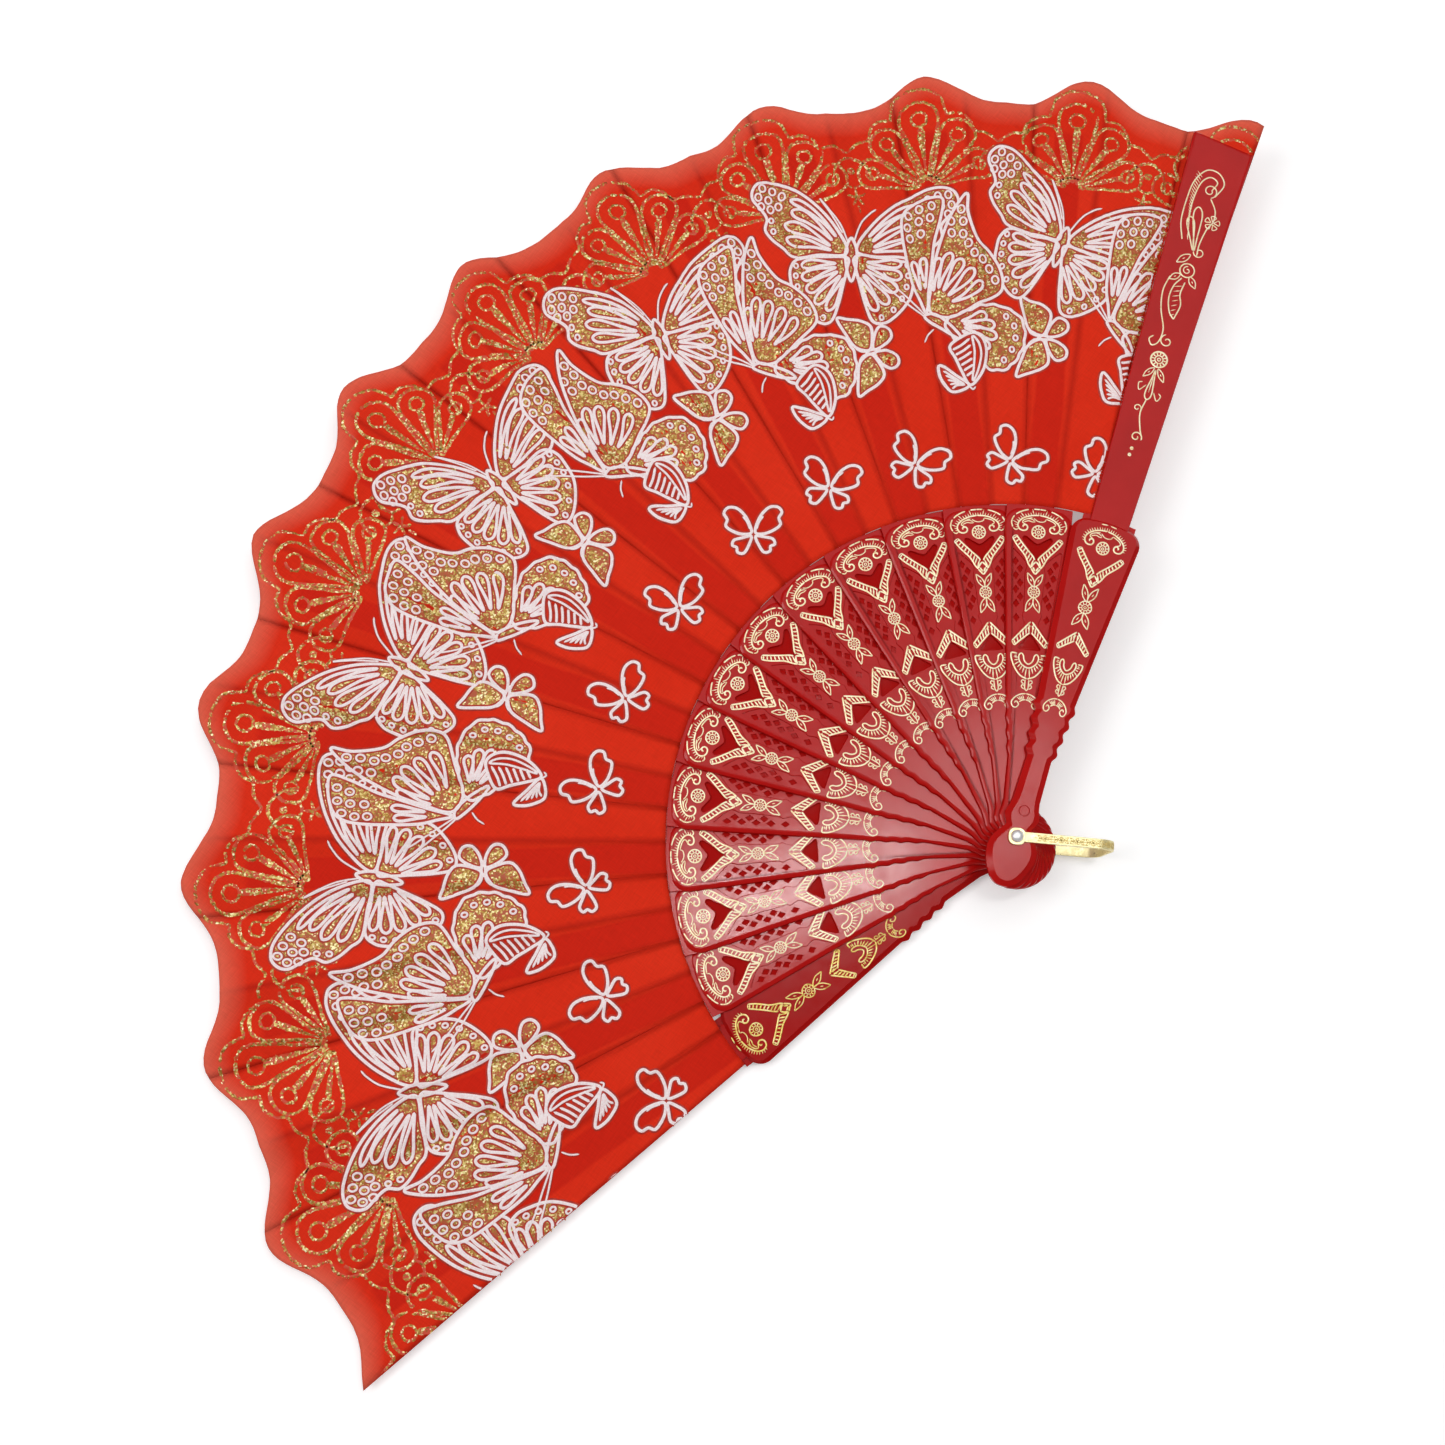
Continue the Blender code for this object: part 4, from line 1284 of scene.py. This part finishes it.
def bar_ornament(foil):
    """Feathered scroll, flowers and tendrils down the middle of the front guard's bar."""
    foil.line([(196.0, -2.0), (200.6, -3.6), (203.6, -1.2), (203.4, 2.4), (199.0, 5.0), (193.0, 5.6),
               (186.0, 5.4), (180.4, 3.6)])
    foil.line([(197.6, -0.6), (200.6, -1.6), (201.6, 0.8), (199.0, 3.0), (193.0, 3.8), (186.0, 3.4)])
    for s in np.linspace(0, 1, 22):
        x = 203.0 - 20 * s
        foil.straight((x - 0.6, 2.6 + 2.6 * math.sin(math.pi * min(1, 0.35 + s * 0.7))),
                      (x - 2.2, 1.2 + 2.4 * math.sin(math.pi * min(1, 0.3 + s * 0.6))), 0.3)
    foil.line(spiral((197.4, -0.2), 2.2, 0.5, 200, 480), width=0.38)
    foil.line([(195.2, -1.0), (192.0, -3.2), (188.6, -3.6), (185.6, -2.4), (180.6, -1.6), (176.8, -1.8)])
    for c, s in ring((0, 0), 1, 5):
        root, tip = ((188.0 + reach * c, -3.4 + reach * s) for reach in (0.5, 2.2))
        foil.line(petal(root, tip, 1.5), True, 0.32)
    foil.line(petal((178.2, -0.6), (191.6, 1.6), 2.6), True)
    foil.line(petal((178.2, -0.2), (188.0, 3.2), 2.2), True)
    foil.line(spiral((178.0, -2.2), 1.7, 0.4, 90, 420), width=0.36)
    foil.leaf((176.6, 0.0), (173.2, 3.2), 2.0)
    foil.line(ring((171.6, -0.4), 2.1, 14), True)
    foil.line(spiral((171.6, -0.4), 1.3, 0.3, 0, 400), width=0.32)
    foil.leaf((170.0, -1.6), (167.0, -4.0), 1.8)
    foil.leaf((170.0, 1.2), (167.6, 3.8), 1.8)
    foil.line([(169.0, 0.4), (166.0, 2.0), (162.0, 2.4), (158.0, 1.2), (156.0, -0.6)])
    foil.line([(168.0, -0.8), (164.0, -0.4), (160.6, -1.4), (156.0, -0.6)])
    for i in range(7):
        x = 166.6 - 1.5 * i
        foil.straight((x, -0.4), (x - 0.9, 1.9 - 0.2 * i), 0.3)
    foil.line([(168.6, 3.8), (163.6, 4.6), (158.0, 3.6), (152.4, 1.4), (148.2, 1.6), (146.6, 3.2),
               (148.2, 4.4), (149.6, 3.4)])
    foil.line(spiral((149.0, -0.6), 2.0, 0.4, 20, 420), width=0.38)
    foil.flower((143.0, 0.0), 2.6, 12)
    for side in (-1, 1):
        foil.leaf((140.2, side * 0.6), (136.8, side * 3.0), 1.5)
    foil.line(petal((139.6, 0.0), (130.4, 0.2), 1.9), True)
    foil.straight((138.0, 0.1), (132.6, 0.2), 0.4)
    foil.line([(134.6, 1.4), (132.6, 3.0), (134.6, 3.6), (135.2, 2.6)], width=0.34)
    foil.line([(133.0, -1.2), (130.8, -2.6), (132.4, -3.4), (133.2, -2.6)], width=0.34)
    foil.line([(130.4, 0.2), (126.0, 0.8), (121.6, -0.4), (119.4, -1.4)])
    foil.line(spiral((127.2, 2.0), 1.2, 0.3, 250, 380), width=0.34)
    foil.line(spiral((118.8, 0.0), 1.7, 0.4, 250, 420), width=0.4)
    for dot in ((115.2, 0.2), (113.2, 0.3)):
        foil.line(ring(dot, 0.3, 8), True, 0.5)


def stand(name, mesh, k, replaced=None):
    """A piece on blade k, at its azimuth and floor."""
    obj = add_object(name, mesh)
    obj.location.z = FLOORS[k] * MM
    obj.rotation_euler.z = math.radians(AZIMUTHS[k])
    dressed(obj, BLADES[k], replaced)


def dressed(obj, body, replaced=None):
    """A piece that moves with a body, and takes the place of a solid."""
    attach(obj, body)
    if replaced:
        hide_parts(replaced)


def make_sticks():
    """The twelve inner sticks, alike but for their places."""
    stick = stick_mesh(RED_PLASTIC)
    # The floor under the pockets and the lattice is in the darker copy of the plastic: painted shade.
    recess = pocket_floor_mesh(RED_SHADED_PLASTIC)
    ornament = foil_mesh(blade_foil(), STICK_THICKNESS, "stick_foil", FOIL_GOLD)
    for k in range(1, LAST):
        stand("blade_%02d" % k, stick, k, BLADES[k])
        stand("blade_floor_%02d" % k, recess, k)
        stand("blade_foil_%02d" % k, ornament, k)


MARK_RADIUS = 1.4
MARK_ALONG = 7.3
REAR_SHIFT = (1.2, 0.9)


def make_guards():
    """Both guards: the rear one's foil sits a little askew, and the front one's bar is stamped too."""
    plain = blade_foil(False)
    mark, bar = Foil(), Foil()
    mark.line(ring((MARK_ALONG, 0), MARK_RADIUS, 24), True, 0.3)
    bar_ornament(bar)
    stand("guard_rear", guard_mesh(REAR_BAR_TOP, REAR_PLASTIC), 0, BLADES[0])
    stand("guard_front", guard_mesh(FRONT_BAR_TOP, RED_PLASTIC), LAST, BLADES[LAST])
    rear, front = plain.warped(GUARD_PLACES, REAR_SHIFT), plain.warped(GUARD_PLACES)
    for name, drawing, height, k, paint, slot in (
            ("foil_rear", rear, GUARD_TOP, 0, OLD_FOIL, "gold"),
            ("foil_front", front, GUARD_TOP, LAST, FOIL_GOLD, "gold"),
            ("bar_foil", bar, FRONT_BAR_TOP, LAST, FOIL_GOLD, "gold"),
            ("guard_mark", mark, GUARD_TOP, LAST, RED_SHADED_PLASTIC, "red_plastic")):
        stand(name, foil_mesh(drawing, height, name, paint), k)


# ---- Rivet and bail ------------------------------------------------------------------------------------

def lathe(name, profile, material, steps=40):
    """Solid of revolution about the pivot axis; the profile's ends lie on the axis."""
    rings = [np.insert(ring((0, 0), r, steps), 2, z, 1) for r, z in profile[1:-1]]
    verts = np.vstack([[(0, 0, profile[0][1])]] + rings + [[(0, 0, profile[-1][1])]])
    i = np.arange(steps)
    j = (i + 1) % steps
    base = 1 + np.arange(len(rings) - 1)[:, None] * steps
    quads = np.stack([base + i, base + steps + i, base + steps + j, base + j], -1).reshape(-1, 4)
    last = len(verts) - 1
    tris = np.vstack([np.stack([0 * i, 1 + i, 1 + j], -1),
                      np.stack([0 * i + last, last - steps + j, last - steps + i], -1)])
    return sharpen(build_mesh(name, verts, [tris, quads], [material]), 50)


def make_rivet():
    """The rivet's front dome with its pin, and the cap at the back."""
    top = DOME_TOP
    dome = [(0.0, top), (0.5, top - 0.03), (0.95, top - 0.14), (1.3, top - 0.34), (1.56, top - 0.62),
            (1.68, top - 0.9), (1.7, top - 1.04), (1.62, top - 1.1), (1.3, top - 1.1), (1.3, 0.6), (0.0, 0.6)]
    cap = [(0.0, 0.35), (1.55, 0.35), (1.55, 0.8), (2.05, 0.8), (2.2, 0.62), (2.2, 0.2), (1.95, 0.0),
           (1.5, 0.0), (1.1, 0.1), (0.0, 0.12)]
    for name, profile, replaced in (("rivet_dome", dome, "rivet_pin"), ("rivet_back", cap, "rivet_cap")):
        dressed(add_object(name, lathe(name, profile, SILVER)), "rear_guard", replaced)


BAIL_AZIMUTH = -58.7
BAIL_LENGTH = 27.3
BAIL_CORNER = 5.0
STRAP = 0.6
STRAP_WIDTH = 2.7
STRAP_START = 1.9
EYE_RADIUS = 2.3
EYE_HALF = 0.34
EYE_SQUARENESS = 0.72
EMBOSS_START = 3.4
EMBOSS_PITCH = 4.2
EMBOSS_WIDTH = 0.2
EMBOSS_SINK = 0.08


def bail_path():
    """Middle of the strap in side view, from the rear eye round the bend to the front one."""
    low, high = BAIL_LOW + EYE_HALF, BAIL_HIGH - EYE_HALF
    radius = BAIL_CORNER - STRAP / 2
    centre = BAIL_LENGTH - BAIL_CORNER
    return np.vstack([
        [(x, low) for x in np.arange(STRAP_START, centre, 0.7)],
        arc((centre, low + radius), radius, -90, 0, 10),
        [(centre + radius, z) for z in np.arange(low + radius + 0.8, high - radius - 0.4, 0.8)],
        arc((centre, high - radius), radius, 0, 90, 10),
        [(x, high) for x in np.arange(centre - 0.7, STRAP_START, -0.7)]])


def bail_outward(path):
    """Unit normals of the strap's outer face."""
    return -left_of(directions(path, False))


def swept(path, section):
    """A closed section swept along a path in the bail's side view; section is (across, outwards)."""
    n, m = len(path), len(section)
    verts = [(p[0] + o[0] * out, across, p[1] + o[1] * out)
             for p, o in zip(path, bail_outward(path)) for across, out in section]
    i = np.arange(n - 1)[:, None] * m
    j = np.arange(m)[None, :]
    k = (j + 1) % m
    quads = np.stack([i + j, i + m + j, i + m + k, i + k], -1).reshape(-1, 4)
    return np.array(verts), quads


def bail_strap():
    """Strap with rounded edges and a raised rim on its outer face."""
    w, h = STRAP_WIDTH / 2, STRAP / 2
    right = [(w - 0.12, -h), (w, -h + 0.12), (w, h - 0.12), (w - 0.12, h), (w - 0.42, h), (w - 0.5, h - 0.07)]
    left = [(-x, y) for x, y in reversed(right)]
    section = left[-1:] + right + left[:-1]
    verts, quads = swept(bail_path(), section)
    n = len(section)
    tris = []
    for end in (list(range(n)), list(range(len(verts) - 1, len(verts) - n - 1, -1))):
        tris += [(end[0], end[i], end[i + 1]) for i in range(1, n - 1)]
    return verts, [np.array(tris), quads]


def bail_eye(middle):
    """Rounded-square eye, a little proud of the strap on both faces."""
    circle = ring((0, 0), 1, 40)
    outline = EYE_RADIUS * np.sign(circle) * np.abs(circle) ** EYE_SQUARENESS
    return slab([outline, ring((0, 0), HOLE_RADIUS, 32)], middle - EYE_HALF, middle + EYE_HALF, 0.14)


def bail_emboss():
    """Raised leaves and flowers on the strap's outer face."""
    path = bail_path()
    run = spread(path)
    strips = Strips()

    def stamp(line, closed, height):
        """One raised line of the ornament."""
        strips.ribbon(line, closed, FOIL, EMBOSS_WIDTH, height)

    start, end = EMBOSS_START, run[-1] - EMBOSS_START
    count = int((end - start) / EMBOSS_PITCH)
    for i in range(count):
        x = start + (end - start) * (i + 0.5) / count
        for ray in turned(ring((0, 0), 0.78, 5), 18):
            stamp(smooth_curve(petal((x, 0), ray + (x, 0), 0.55), True, 0.2), True, 0.14)
        for side in SIDES:
            for way in (1, -1):
                leaf = lens((x + way * 0.9, side * 0.1), (x + way * 2.0, side * 0.75), 0.5)
                stamp(smooth_curve(leaf, True, 0.2), True, 0.13)
        stamp(np.linspace((x + 1.1, 0), (x + 3.1, 0), 6), False, 0.12)
    points, lifts, quads = strips.arrays()[:3]
    px, pz, ox, oz = (np.interp(points[:, 0], run, values) for values in (*path.T, *bail_outward(path).T))
    out = STRAP / 2 - EMBOSS_SINK + lifts
    return np.column_stack([px + ox * out, points[:, 1], pz + oz * out]), quads


def make_bail():
    """The strap with its two eyes, and the ornament on it."""
    points, faces = joined([bail_strap(), bail_eye(BAIL_LOW + EYE_HALF), bail_eye(BAIL_HIGH - EYE_HALF)])
    strap = sharpen(build_mesh("bail_strap", points, faces, [GOLD_METAL]), 30)
    points, quads = bail_emboss()
    emboss = build_mesh("bail_emboss", points, [quads], [DARK_GOLD])
    for mesh, replaced in ((strap, "bail"), (emboss, None)):
        obj = add_object(mesh.name, mesh)
        obj.rotation_euler.z = math.radians(BAIL_AZIMUTH)
        dressed(obj, "bail", replaced)


# ---- Materials -----------------------------------------------------------------------------------------

BUMP_DISTANCE = 0.0001
CLOTH_TONES = [(0.3, (0.74, 0.024, 0.006)), (0.7, (0.80, 0.033, 0.010))]
# Painted shade: the cloth over a slip, darkened as if the slip blocked light through the cloth.
SLIP_SHADE_TONE = (0.63, 0.014, 0.005)
# Painted shade in the creases along the folds.
FOLD_SHADE_TONE = (0.38, 0.008, 0.003)
HEM_TONE = (0.84, 0.15, 0.09)
# Flake tones from dark brown to pale yellow: painted glints and painted shade of flakes at different tilts.
FLAKE_GLINT_TONES = [(0.0, (0.26, 0.09, 0.01)), (0.3, (0.40, 0.20, 0.025)), (0.55, (0.52, 0.34, 0.07)),
               (0.78, (0.72, 0.58, 0.20)), (1.0, (0.98, 0.92, 0.55))]


def material(name, colour, roughness, metallic=0.0):
    """A material and its shader; plain values sit on the shader's own sockets."""
    mat = bpy.data.materials.new(name)
    mat.use_nodes = True
    shader = mat.node_tree.nodes["Principled BSDF"]
    feed(mat, shader, {"Base Color": opaque(colour), "Roughness": roughness, "Metallic": metallic})
    return mat, shader


def feed(mat, made, inputs):
    """Give a node's sockets values, or other nodes' outputs."""
    for key, value in inputs.items():
        if isinstance(value, bpy.types.NodeSocket):
            mat.node_tree.links.new(value, made.inputs[key])
        else:
            made.inputs[key].default_value = value


def opaque(colour):
    """A colour with full alpha; an output stays as it is."""
    return colour if isinstance(colour, bpy.types.NodeSocket) else (*colour, 1.0)


def node(mat, kind, inputs=None, **settings):
    """New node; inputs maps a socket to a value or to another node's output."""
    made = mat.node_tree.nodes.new(kind)
    for key, value in settings.items():
        setattr(made, key, value)
    feed(mat, made, inputs or {})
    return made


def maths(mat, operation, a, b=0.0):
    """Output of one sum."""
    return node(mat, "ShaderNodeMath", {0: a, 1: b}, operation=operation).outputs[0]


def remap(mat, value, source, target):
    """A value taken from one range to another, and held at its ends."""
    names = ("From Min", "From Max", "To Min", "To Max")
    made = node(mat, "ShaderNodeMapRange", dict(zip(names, (*source, *target)), Value=value))
    return made.outputs["Result"]


def ramp(mat, value, stops):
    """Colour ramp; stops are (place, colour)."""
    made = node(mat, "ShaderNodeValToRGB", {"Fac": value})
    elements = made.color_ramp.elements
    while len(elements) < len(stops):
        elements.new(0.5)
    for element, (place, colour) in zip(elements, stops):
        element.position = place
        element.color = opaque(colour)
    return made.outputs["Color"]


def mix(mat, share, a, b):
    """One colour blended into another."""
    inputs = {0: share, 6: opaque(a), 7: opaque(b)}
    return node(mat, "ShaderNodeMix", inputs, data_type="RGBA").outputs[2]


def noise(mat, vector, scale, detail=2.0, roughness=0.5):
    """Soft random values; scale is in features per unit of the vector."""
    inputs = {"Vector": vector, "Scale": scale, "Detail": detail, "Roughness": roughness}
    return node(mat, "ShaderNodeTexNoise", inputs).outputs["Fac"]


def bump(mat, height, strength):
    """Normals of a fine relief."""
    inputs = {"Height": height, "Strength": strength, "Distance": BUMP_DISTANCE}
    return node(mat, "ShaderNodeBump", inputs).outputs["Normal"]


def attribute(mat, name, output="Fac"):
    """Values stored on the mesh."""
    return node(mat, "ShaderNodeAttribute", attribute_name=name).outputs[output]


def object_place(mat):
    """Place in the object's own frame, in metres."""
    return node(mat, "ShaderNodeTexCoord").outputs["Object"]


def red_plastic(name, depth, specular):
    """Injection-moulded red plastic: deep colour, soft gloss, faint flow marks and fine scratches."""
    mat, shader = material(name, (depth, 0.005, 0.004), 0.2)
    place = object_place(mat)
    cloud = noise(mat, place, 90.0, 3.0)
    colour = ramp(mat, cloud, [(0.3, (depth * 0.94, 0.004, 0.003)), (0.7, (depth * 1.06, 0.006, 0.005))])
    feed(mat, shader, {"Base Color": colour, "Specular IOR Level": specular,
                       "Roughness": remap(mat, noise(mat, place, 240.0, 4.0), (0.3, 0.7), (0.1, 0.17)),
                       "Normal": bump(mat, noise(mat, place, 420.0, 3.0), 0.1)})
    return mat


def red_cloth():
    """Thin woven cloth: painted shade over the slips, as if they blocked light through it, painted shade
    along the folds, and hazier towards the rim.
    """
    mat, shader = material("red_cloth", (0.62, 0.016, 0.009), 0.75)
    rest = attribute(mat, "rest", "Vector")
    base = ramp(mat, noise(mat, rest, 0.03, 3.0), CLOTH_TONES)
    wobble = maths(mat, "MULTIPLY", maths(mat, "SUBTRACT", noise(mat, rest, 0.05, 2.0), 0.5), 1.2)
    side = maths(mat, "ABSOLUTE", maths(mat, "ADD", attribute(mat, "across"), wobble))
    # Painted shade where a slip lies behind the cloth.
    over_slip = maths(mat, "MULTIPLY", remap(mat, side, (3.7, 4.5), (1.0, 0.0)),
                      remap(mat, attribute(mat, "along"), (SLIP_END - 1, SLIP_END + 1), (1.0, 0.0)))
    base = mix(mat, maths(mat, "MULTIPLY", over_slip, 0.75), base, SLIP_SHADE_TONE)
    # Painted shade along the folds.
    base = mix(mat, remap(mat, attribute(mat, "from_fold"), (0.1, 1.5), (0.5, 0.0)), base, FOLD_SHADE_TONE)
    base = mix(mat, remap(mat, attribute(mat, "from_rim"), (0.0, 7.5), (0.9, 0.0)), base, HEM_TONE)
    axes = node(mat, "ShaderNodeSeparateXYZ", {0: rest}).outputs
    warp, weft = (maths(mat, "SINE", maths(mat, "MULTIPLY", axes[name], 22.0)) for name in "XY")
    weave = maths(mat, "MULTIPLY", warp, weft)
    slubs = [noise(mat, node(mat, "ShaderNodeMapping", {"Vector": rest, "Scale": scale}).outputs[0], 2.5, 3.0)
             for scale in ((1.2, 0.08, 1.0), (0.08, 1.2, 1.0))]
    threads = maths(mat, "ADD", maths(mat, "MULTIPLY", weave, 0.05), maths(mat, "ADD", *slubs))
    tone = remap(mat, threads, (0.6, 1.4), (0.9, 1.1))
    relief = maths(mat, "ADD", maths(mat, "MULTIPLY", weave, 0.5), threads)
    tinted = node(mat, "ShaderNodeHueSaturation", {"Color": base, "Value": tone}).outputs["Color"]
    feed(mat, shader, {"Base Color": tinted, "Specular IOR Level": 0.08, "Sheen Weight": 0.05,
                       "Sheen Roughness": 0.4, "Sheen Tint": (1.0, 0.35, 0.25, 1.0),
                       "Normal": bump(mat, relief, 0.25)})
    return mat


def puff_print():
    """Matt raised print paste, pinkish white and slightly grainy."""
    mat, shader = material("puff_print", (0.97, 0.82, 0.82), 0.6)
    grain = noise(mat, object_place(mat), 2200.0, 3.0)
    colour = ramp(mat, grain, [(0.35, (0.95, 0.74, 0.75)), (0.6, (1.0, 0.90, 0.90))])
    feed(mat, shader, {"Base Color": colour, "Normal": bump(mat, grain, 0.4)})
    return mat


def print_halo():
    """Painted shade: the cloth darkened along the foot of a raised line, as its shadow."""
    mat, shader = material("print_halo", (0.45, 0.02, 0.006), 0.6)
    cloud = noise(mat, object_place(mat), 900.0, 2.0)
    colour = ramp(mat, cloud, [(0.3, (0.38, 0.012, 0.004)), (0.7, (0.56, 0.03, 0.008))])
    feed(mat, shader, {"Base Color": colour})
    return mat


def glitter(name, cover, ground):
    """Gold glitter over a binder in the ground's colour: flakes of many tilts, with painted glints and
    painted shade in their tones, and gaps.
    """
    mat, shader = material(name, (0.55, 0.35, 0.08), 0.45)
    place = object_place(mat)
    flakes = node(mat, "ShaderNodeTexVoronoi", {"Vector": place, "Scale": 2100.0}, feature="F1")
    tone = node(mat, "ShaderNodeSeparateColor", {0: flakes.outputs["Color"]}).outputs
    patches = maths(mat, "ADD", noise(mat, place, 300.0, 3.0), maths(mat, "MULTIPLY", tone["Green"], 0.6))
    bare = remap(mat, patches, (cover, cover + 0.06), (0.0, 1.0))
    colour = mix(mat, bare, ramp(mat, tone["Red"], FLAKE_GLINT_TONES), ground)
    feed(mat, shader, {"Base Color": colour, "Metallic": remap(mat, bare, (0.0, 1.0), (0.45, 0.0)),
                       "Normal": bump(mat, tone["Blue"], 0.6)})
    return mat


def foil_gold(name, worn, fresh, shine):
    """Hot-stamped foil: gold, a little uneven and worn thin in places."""
    mat, shader = material(name, fresh, 0.32, shine)
    wear = noise(mat, object_place(mat), 700.0, 4.0, 0.6)
    pale = tuple(c * 0.7 + 0.3 for c in fresh)
    colour = ramp(mat, wear, [(0.32, worn), (0.44, fresh), (0.72, pale)])
    feed(mat, shader, {"Base Color": colour, "Normal": bump(mat, wear, 0.3)})
    return mat


def metal(name, colour, roughness, shine):
    """Bright plated metal with fine handling marks."""
    mat, shader = material(name, colour, roughness, shine)
    marks = noise(mat, object_place(mat), 900.0, 4.0, 0.6)
    rough = remap(mat, marks, (0.3, 0.7), (roughness * 0.7, roughness * 1.5))
    feed(mat, shader, {"Roughness": rough, "Normal": bump(mat, marks, 0.2)})
    return mat


# ---- Stage ---------------------------------------------------------------------------------------------

CAMERA_LENS = 43.61
CAMERA_PLACE = (-0.102165, 0.048680, 0.484261)
CAMERA_AXES = [(0.59055, -0.80573, 0.04523), (0.78881, 0.58817, 0.17841), (-0.17036, -0.06968, 0.98292)]
WORLD_LEVEL = 0.2
FLOOR_LIFT = 0.31
LIFT_REACH = (0.5, 1.6)
FLOOR_HALF = 3.0
FLOOR_DROP = -0.0002
LAMP_HEIGHT = 1.25


def make_camera():
    """The photo's camera, as fitted to the blades' heads, the rivet and the tips."""
    data = bpy.data.cameras.new("camera")
    data.lens = CAMERA_LENS
    data.sensor_width = 36.0
    data.clip_start = 0.01
    camera = add_object("camera", data)
    turn = Matrix([Vector(axis) for axis in CAMERA_AXES]).transposed()
    camera.matrix_world = Matrix.Translation(CAMERA_PLACE) @ turn.to_4x4()
    bpy.context.scene.camera = camera


def make_floor():
    """Pale floor: seen directly it is lifted to white, more so far away, and it keeps the object's shadow."""
    mat, shader = material("floor", (0.92, 0.92, 0.92), 0.9)
    path = node(mat, "ShaderNodeLightPath").outputs
    seen = maths(mat, "MAXIMUM", path["Is Camera Ray"], path["Is Glossy Ray"])
    seen = maths(mat, "MAXIMUM", seen, path["Is Transmission Ray"])
    reach = node(mat, "ShaderNodeVectorMath", {0: object_place(mat)}, operation="LENGTH").outputs["Value"]
    lift = remap(mat, reach, LIFT_REACH, (FLOOR_LIFT, 1.0))
    feed(mat, shader, {"Specular IOR Level": 0.0, "Emission Color": (1.0, 1.0, 1.0, 1.0),
                       "Emission Strength": maths(mat, "MULTIPLY", seen, lift)})
    mesh = bpy.data.meshes.new("floor")
    corners = [(-1, -1), (1, -1), (1, 1), (-1, 1)]
    mesh.from_pydata([(x * FLOOR_HALF, y * FLOOR_HALF, 0) for x, y in corners], [], [(0, 1, 2, 3)])
    mesh.materials.append(mat)
    floor = add_object("floor", mesh)
    floor.location.z = FLOOR_DROP


def make_world():
    """White where the camera sees it, and dimmer as a light."""
    world = bpy.data.worlds.new("studio")
    bpy.context.scene.world = world
    world.use_nodes = True
    path = node(world, "ShaderNodeLightPath").outputs
    seen = maths(world, "MAXIMUM", path["Is Camera Ray"], path["Is Transmission Ray"])
    feed(world, world.node_tree.nodes["Background"], {
        "Color": (1.0, 1.0, 1.0, 1.0), "Strength": remap(world, seen, (0.0, 1.0), (WORLD_LEVEL, 1.0))})


def lamp(name, place, target, size, power):
    """Round area lamp aimed at a target."""
    data = bpy.data.lights.new(name, "AREA")
    data.shape = "DISK"
    data.size = size
    data.energy = power
    obj = add_object(name, data)
    obj.location = place
    obj.rotation_euler = (Vector(target) - Vector(place)).to_track_quat("-Z", "Y").to_euler()
    return obj


bpy.context.scene.view_settings.view_transform = "Standard"
make_camera()
make_floor()
make_world()
lamp("overhead", (0.27, 0.2, LAMP_HEIGHT), (0, 0.09, 0), size=1.6, power=7.5)
lamp("key", (-0.55, 0.75, LAMP_HEIGHT), (0, 0.08, 0), size=0.6, power=5.3)
lamp("tail_glare", (0.29, -0.08, LAMP_HEIGHT), (0, 0, 0), size=0.18, power=0.45)
# A narrow panel straight above, for the pale band across the blades.
glare = lamp("glare", (0.108, 0.013, LAMP_HEIGHT), (-0.05, 0.04, 0), size=0.23, power=1.6)
glare.data.shape = "RECTANGLE"
glare.data.size_y = 0.06
glare.rotation_euler = (0, 0, math.atan2(-0.114, 0.136))

RED_PLASTIC = red_plastic("red_plastic", 0.48, 0.22)
REAR_PLASTIC = red_plastic("rear_plastic", 0.40, 0.08)
# A darker, duller copy of the red plastic: painted shade on the floors of the pockets and the lattice; the
# guard's ring mark is drawn in it too.
RED_SHADED_PLASTIC = red_plastic("red_shaded_plastic", 0.40, 0.02)
FOIL_GOLD = foil_gold("foil_gold", (0.84, 0.58, 0.30), (0.96, 0.84, 0.52), 0.3)
OLD_FOIL = foil_gold("old_foil", (0.46, 0.24, 0.03), (0.80, 0.62, 0.14), 0.4)
SILVER = metal("silver", (0.92, 0.92, 0.92), 0.3, 0.6)
GOLD_METAL = metal("gold_metal", (0.95, 0.84, 0.45), 0.32, 0.45)
DARK_GOLD = metal("dark_gold", (0.78, 0.60, 0.22), 0.35, 0.5)

make_sticks()
make_guards()
cloth_gores = make_cloth(red_cloth())
make_prints([puff_print(), print_halo(), glitter("glitter", 0.86, (0.48, 0.07, 0.01)),
             glitter("rim_glitter", 0.8, (0.66, 0.05, 0.01))])
make_rivet()
make_bail()
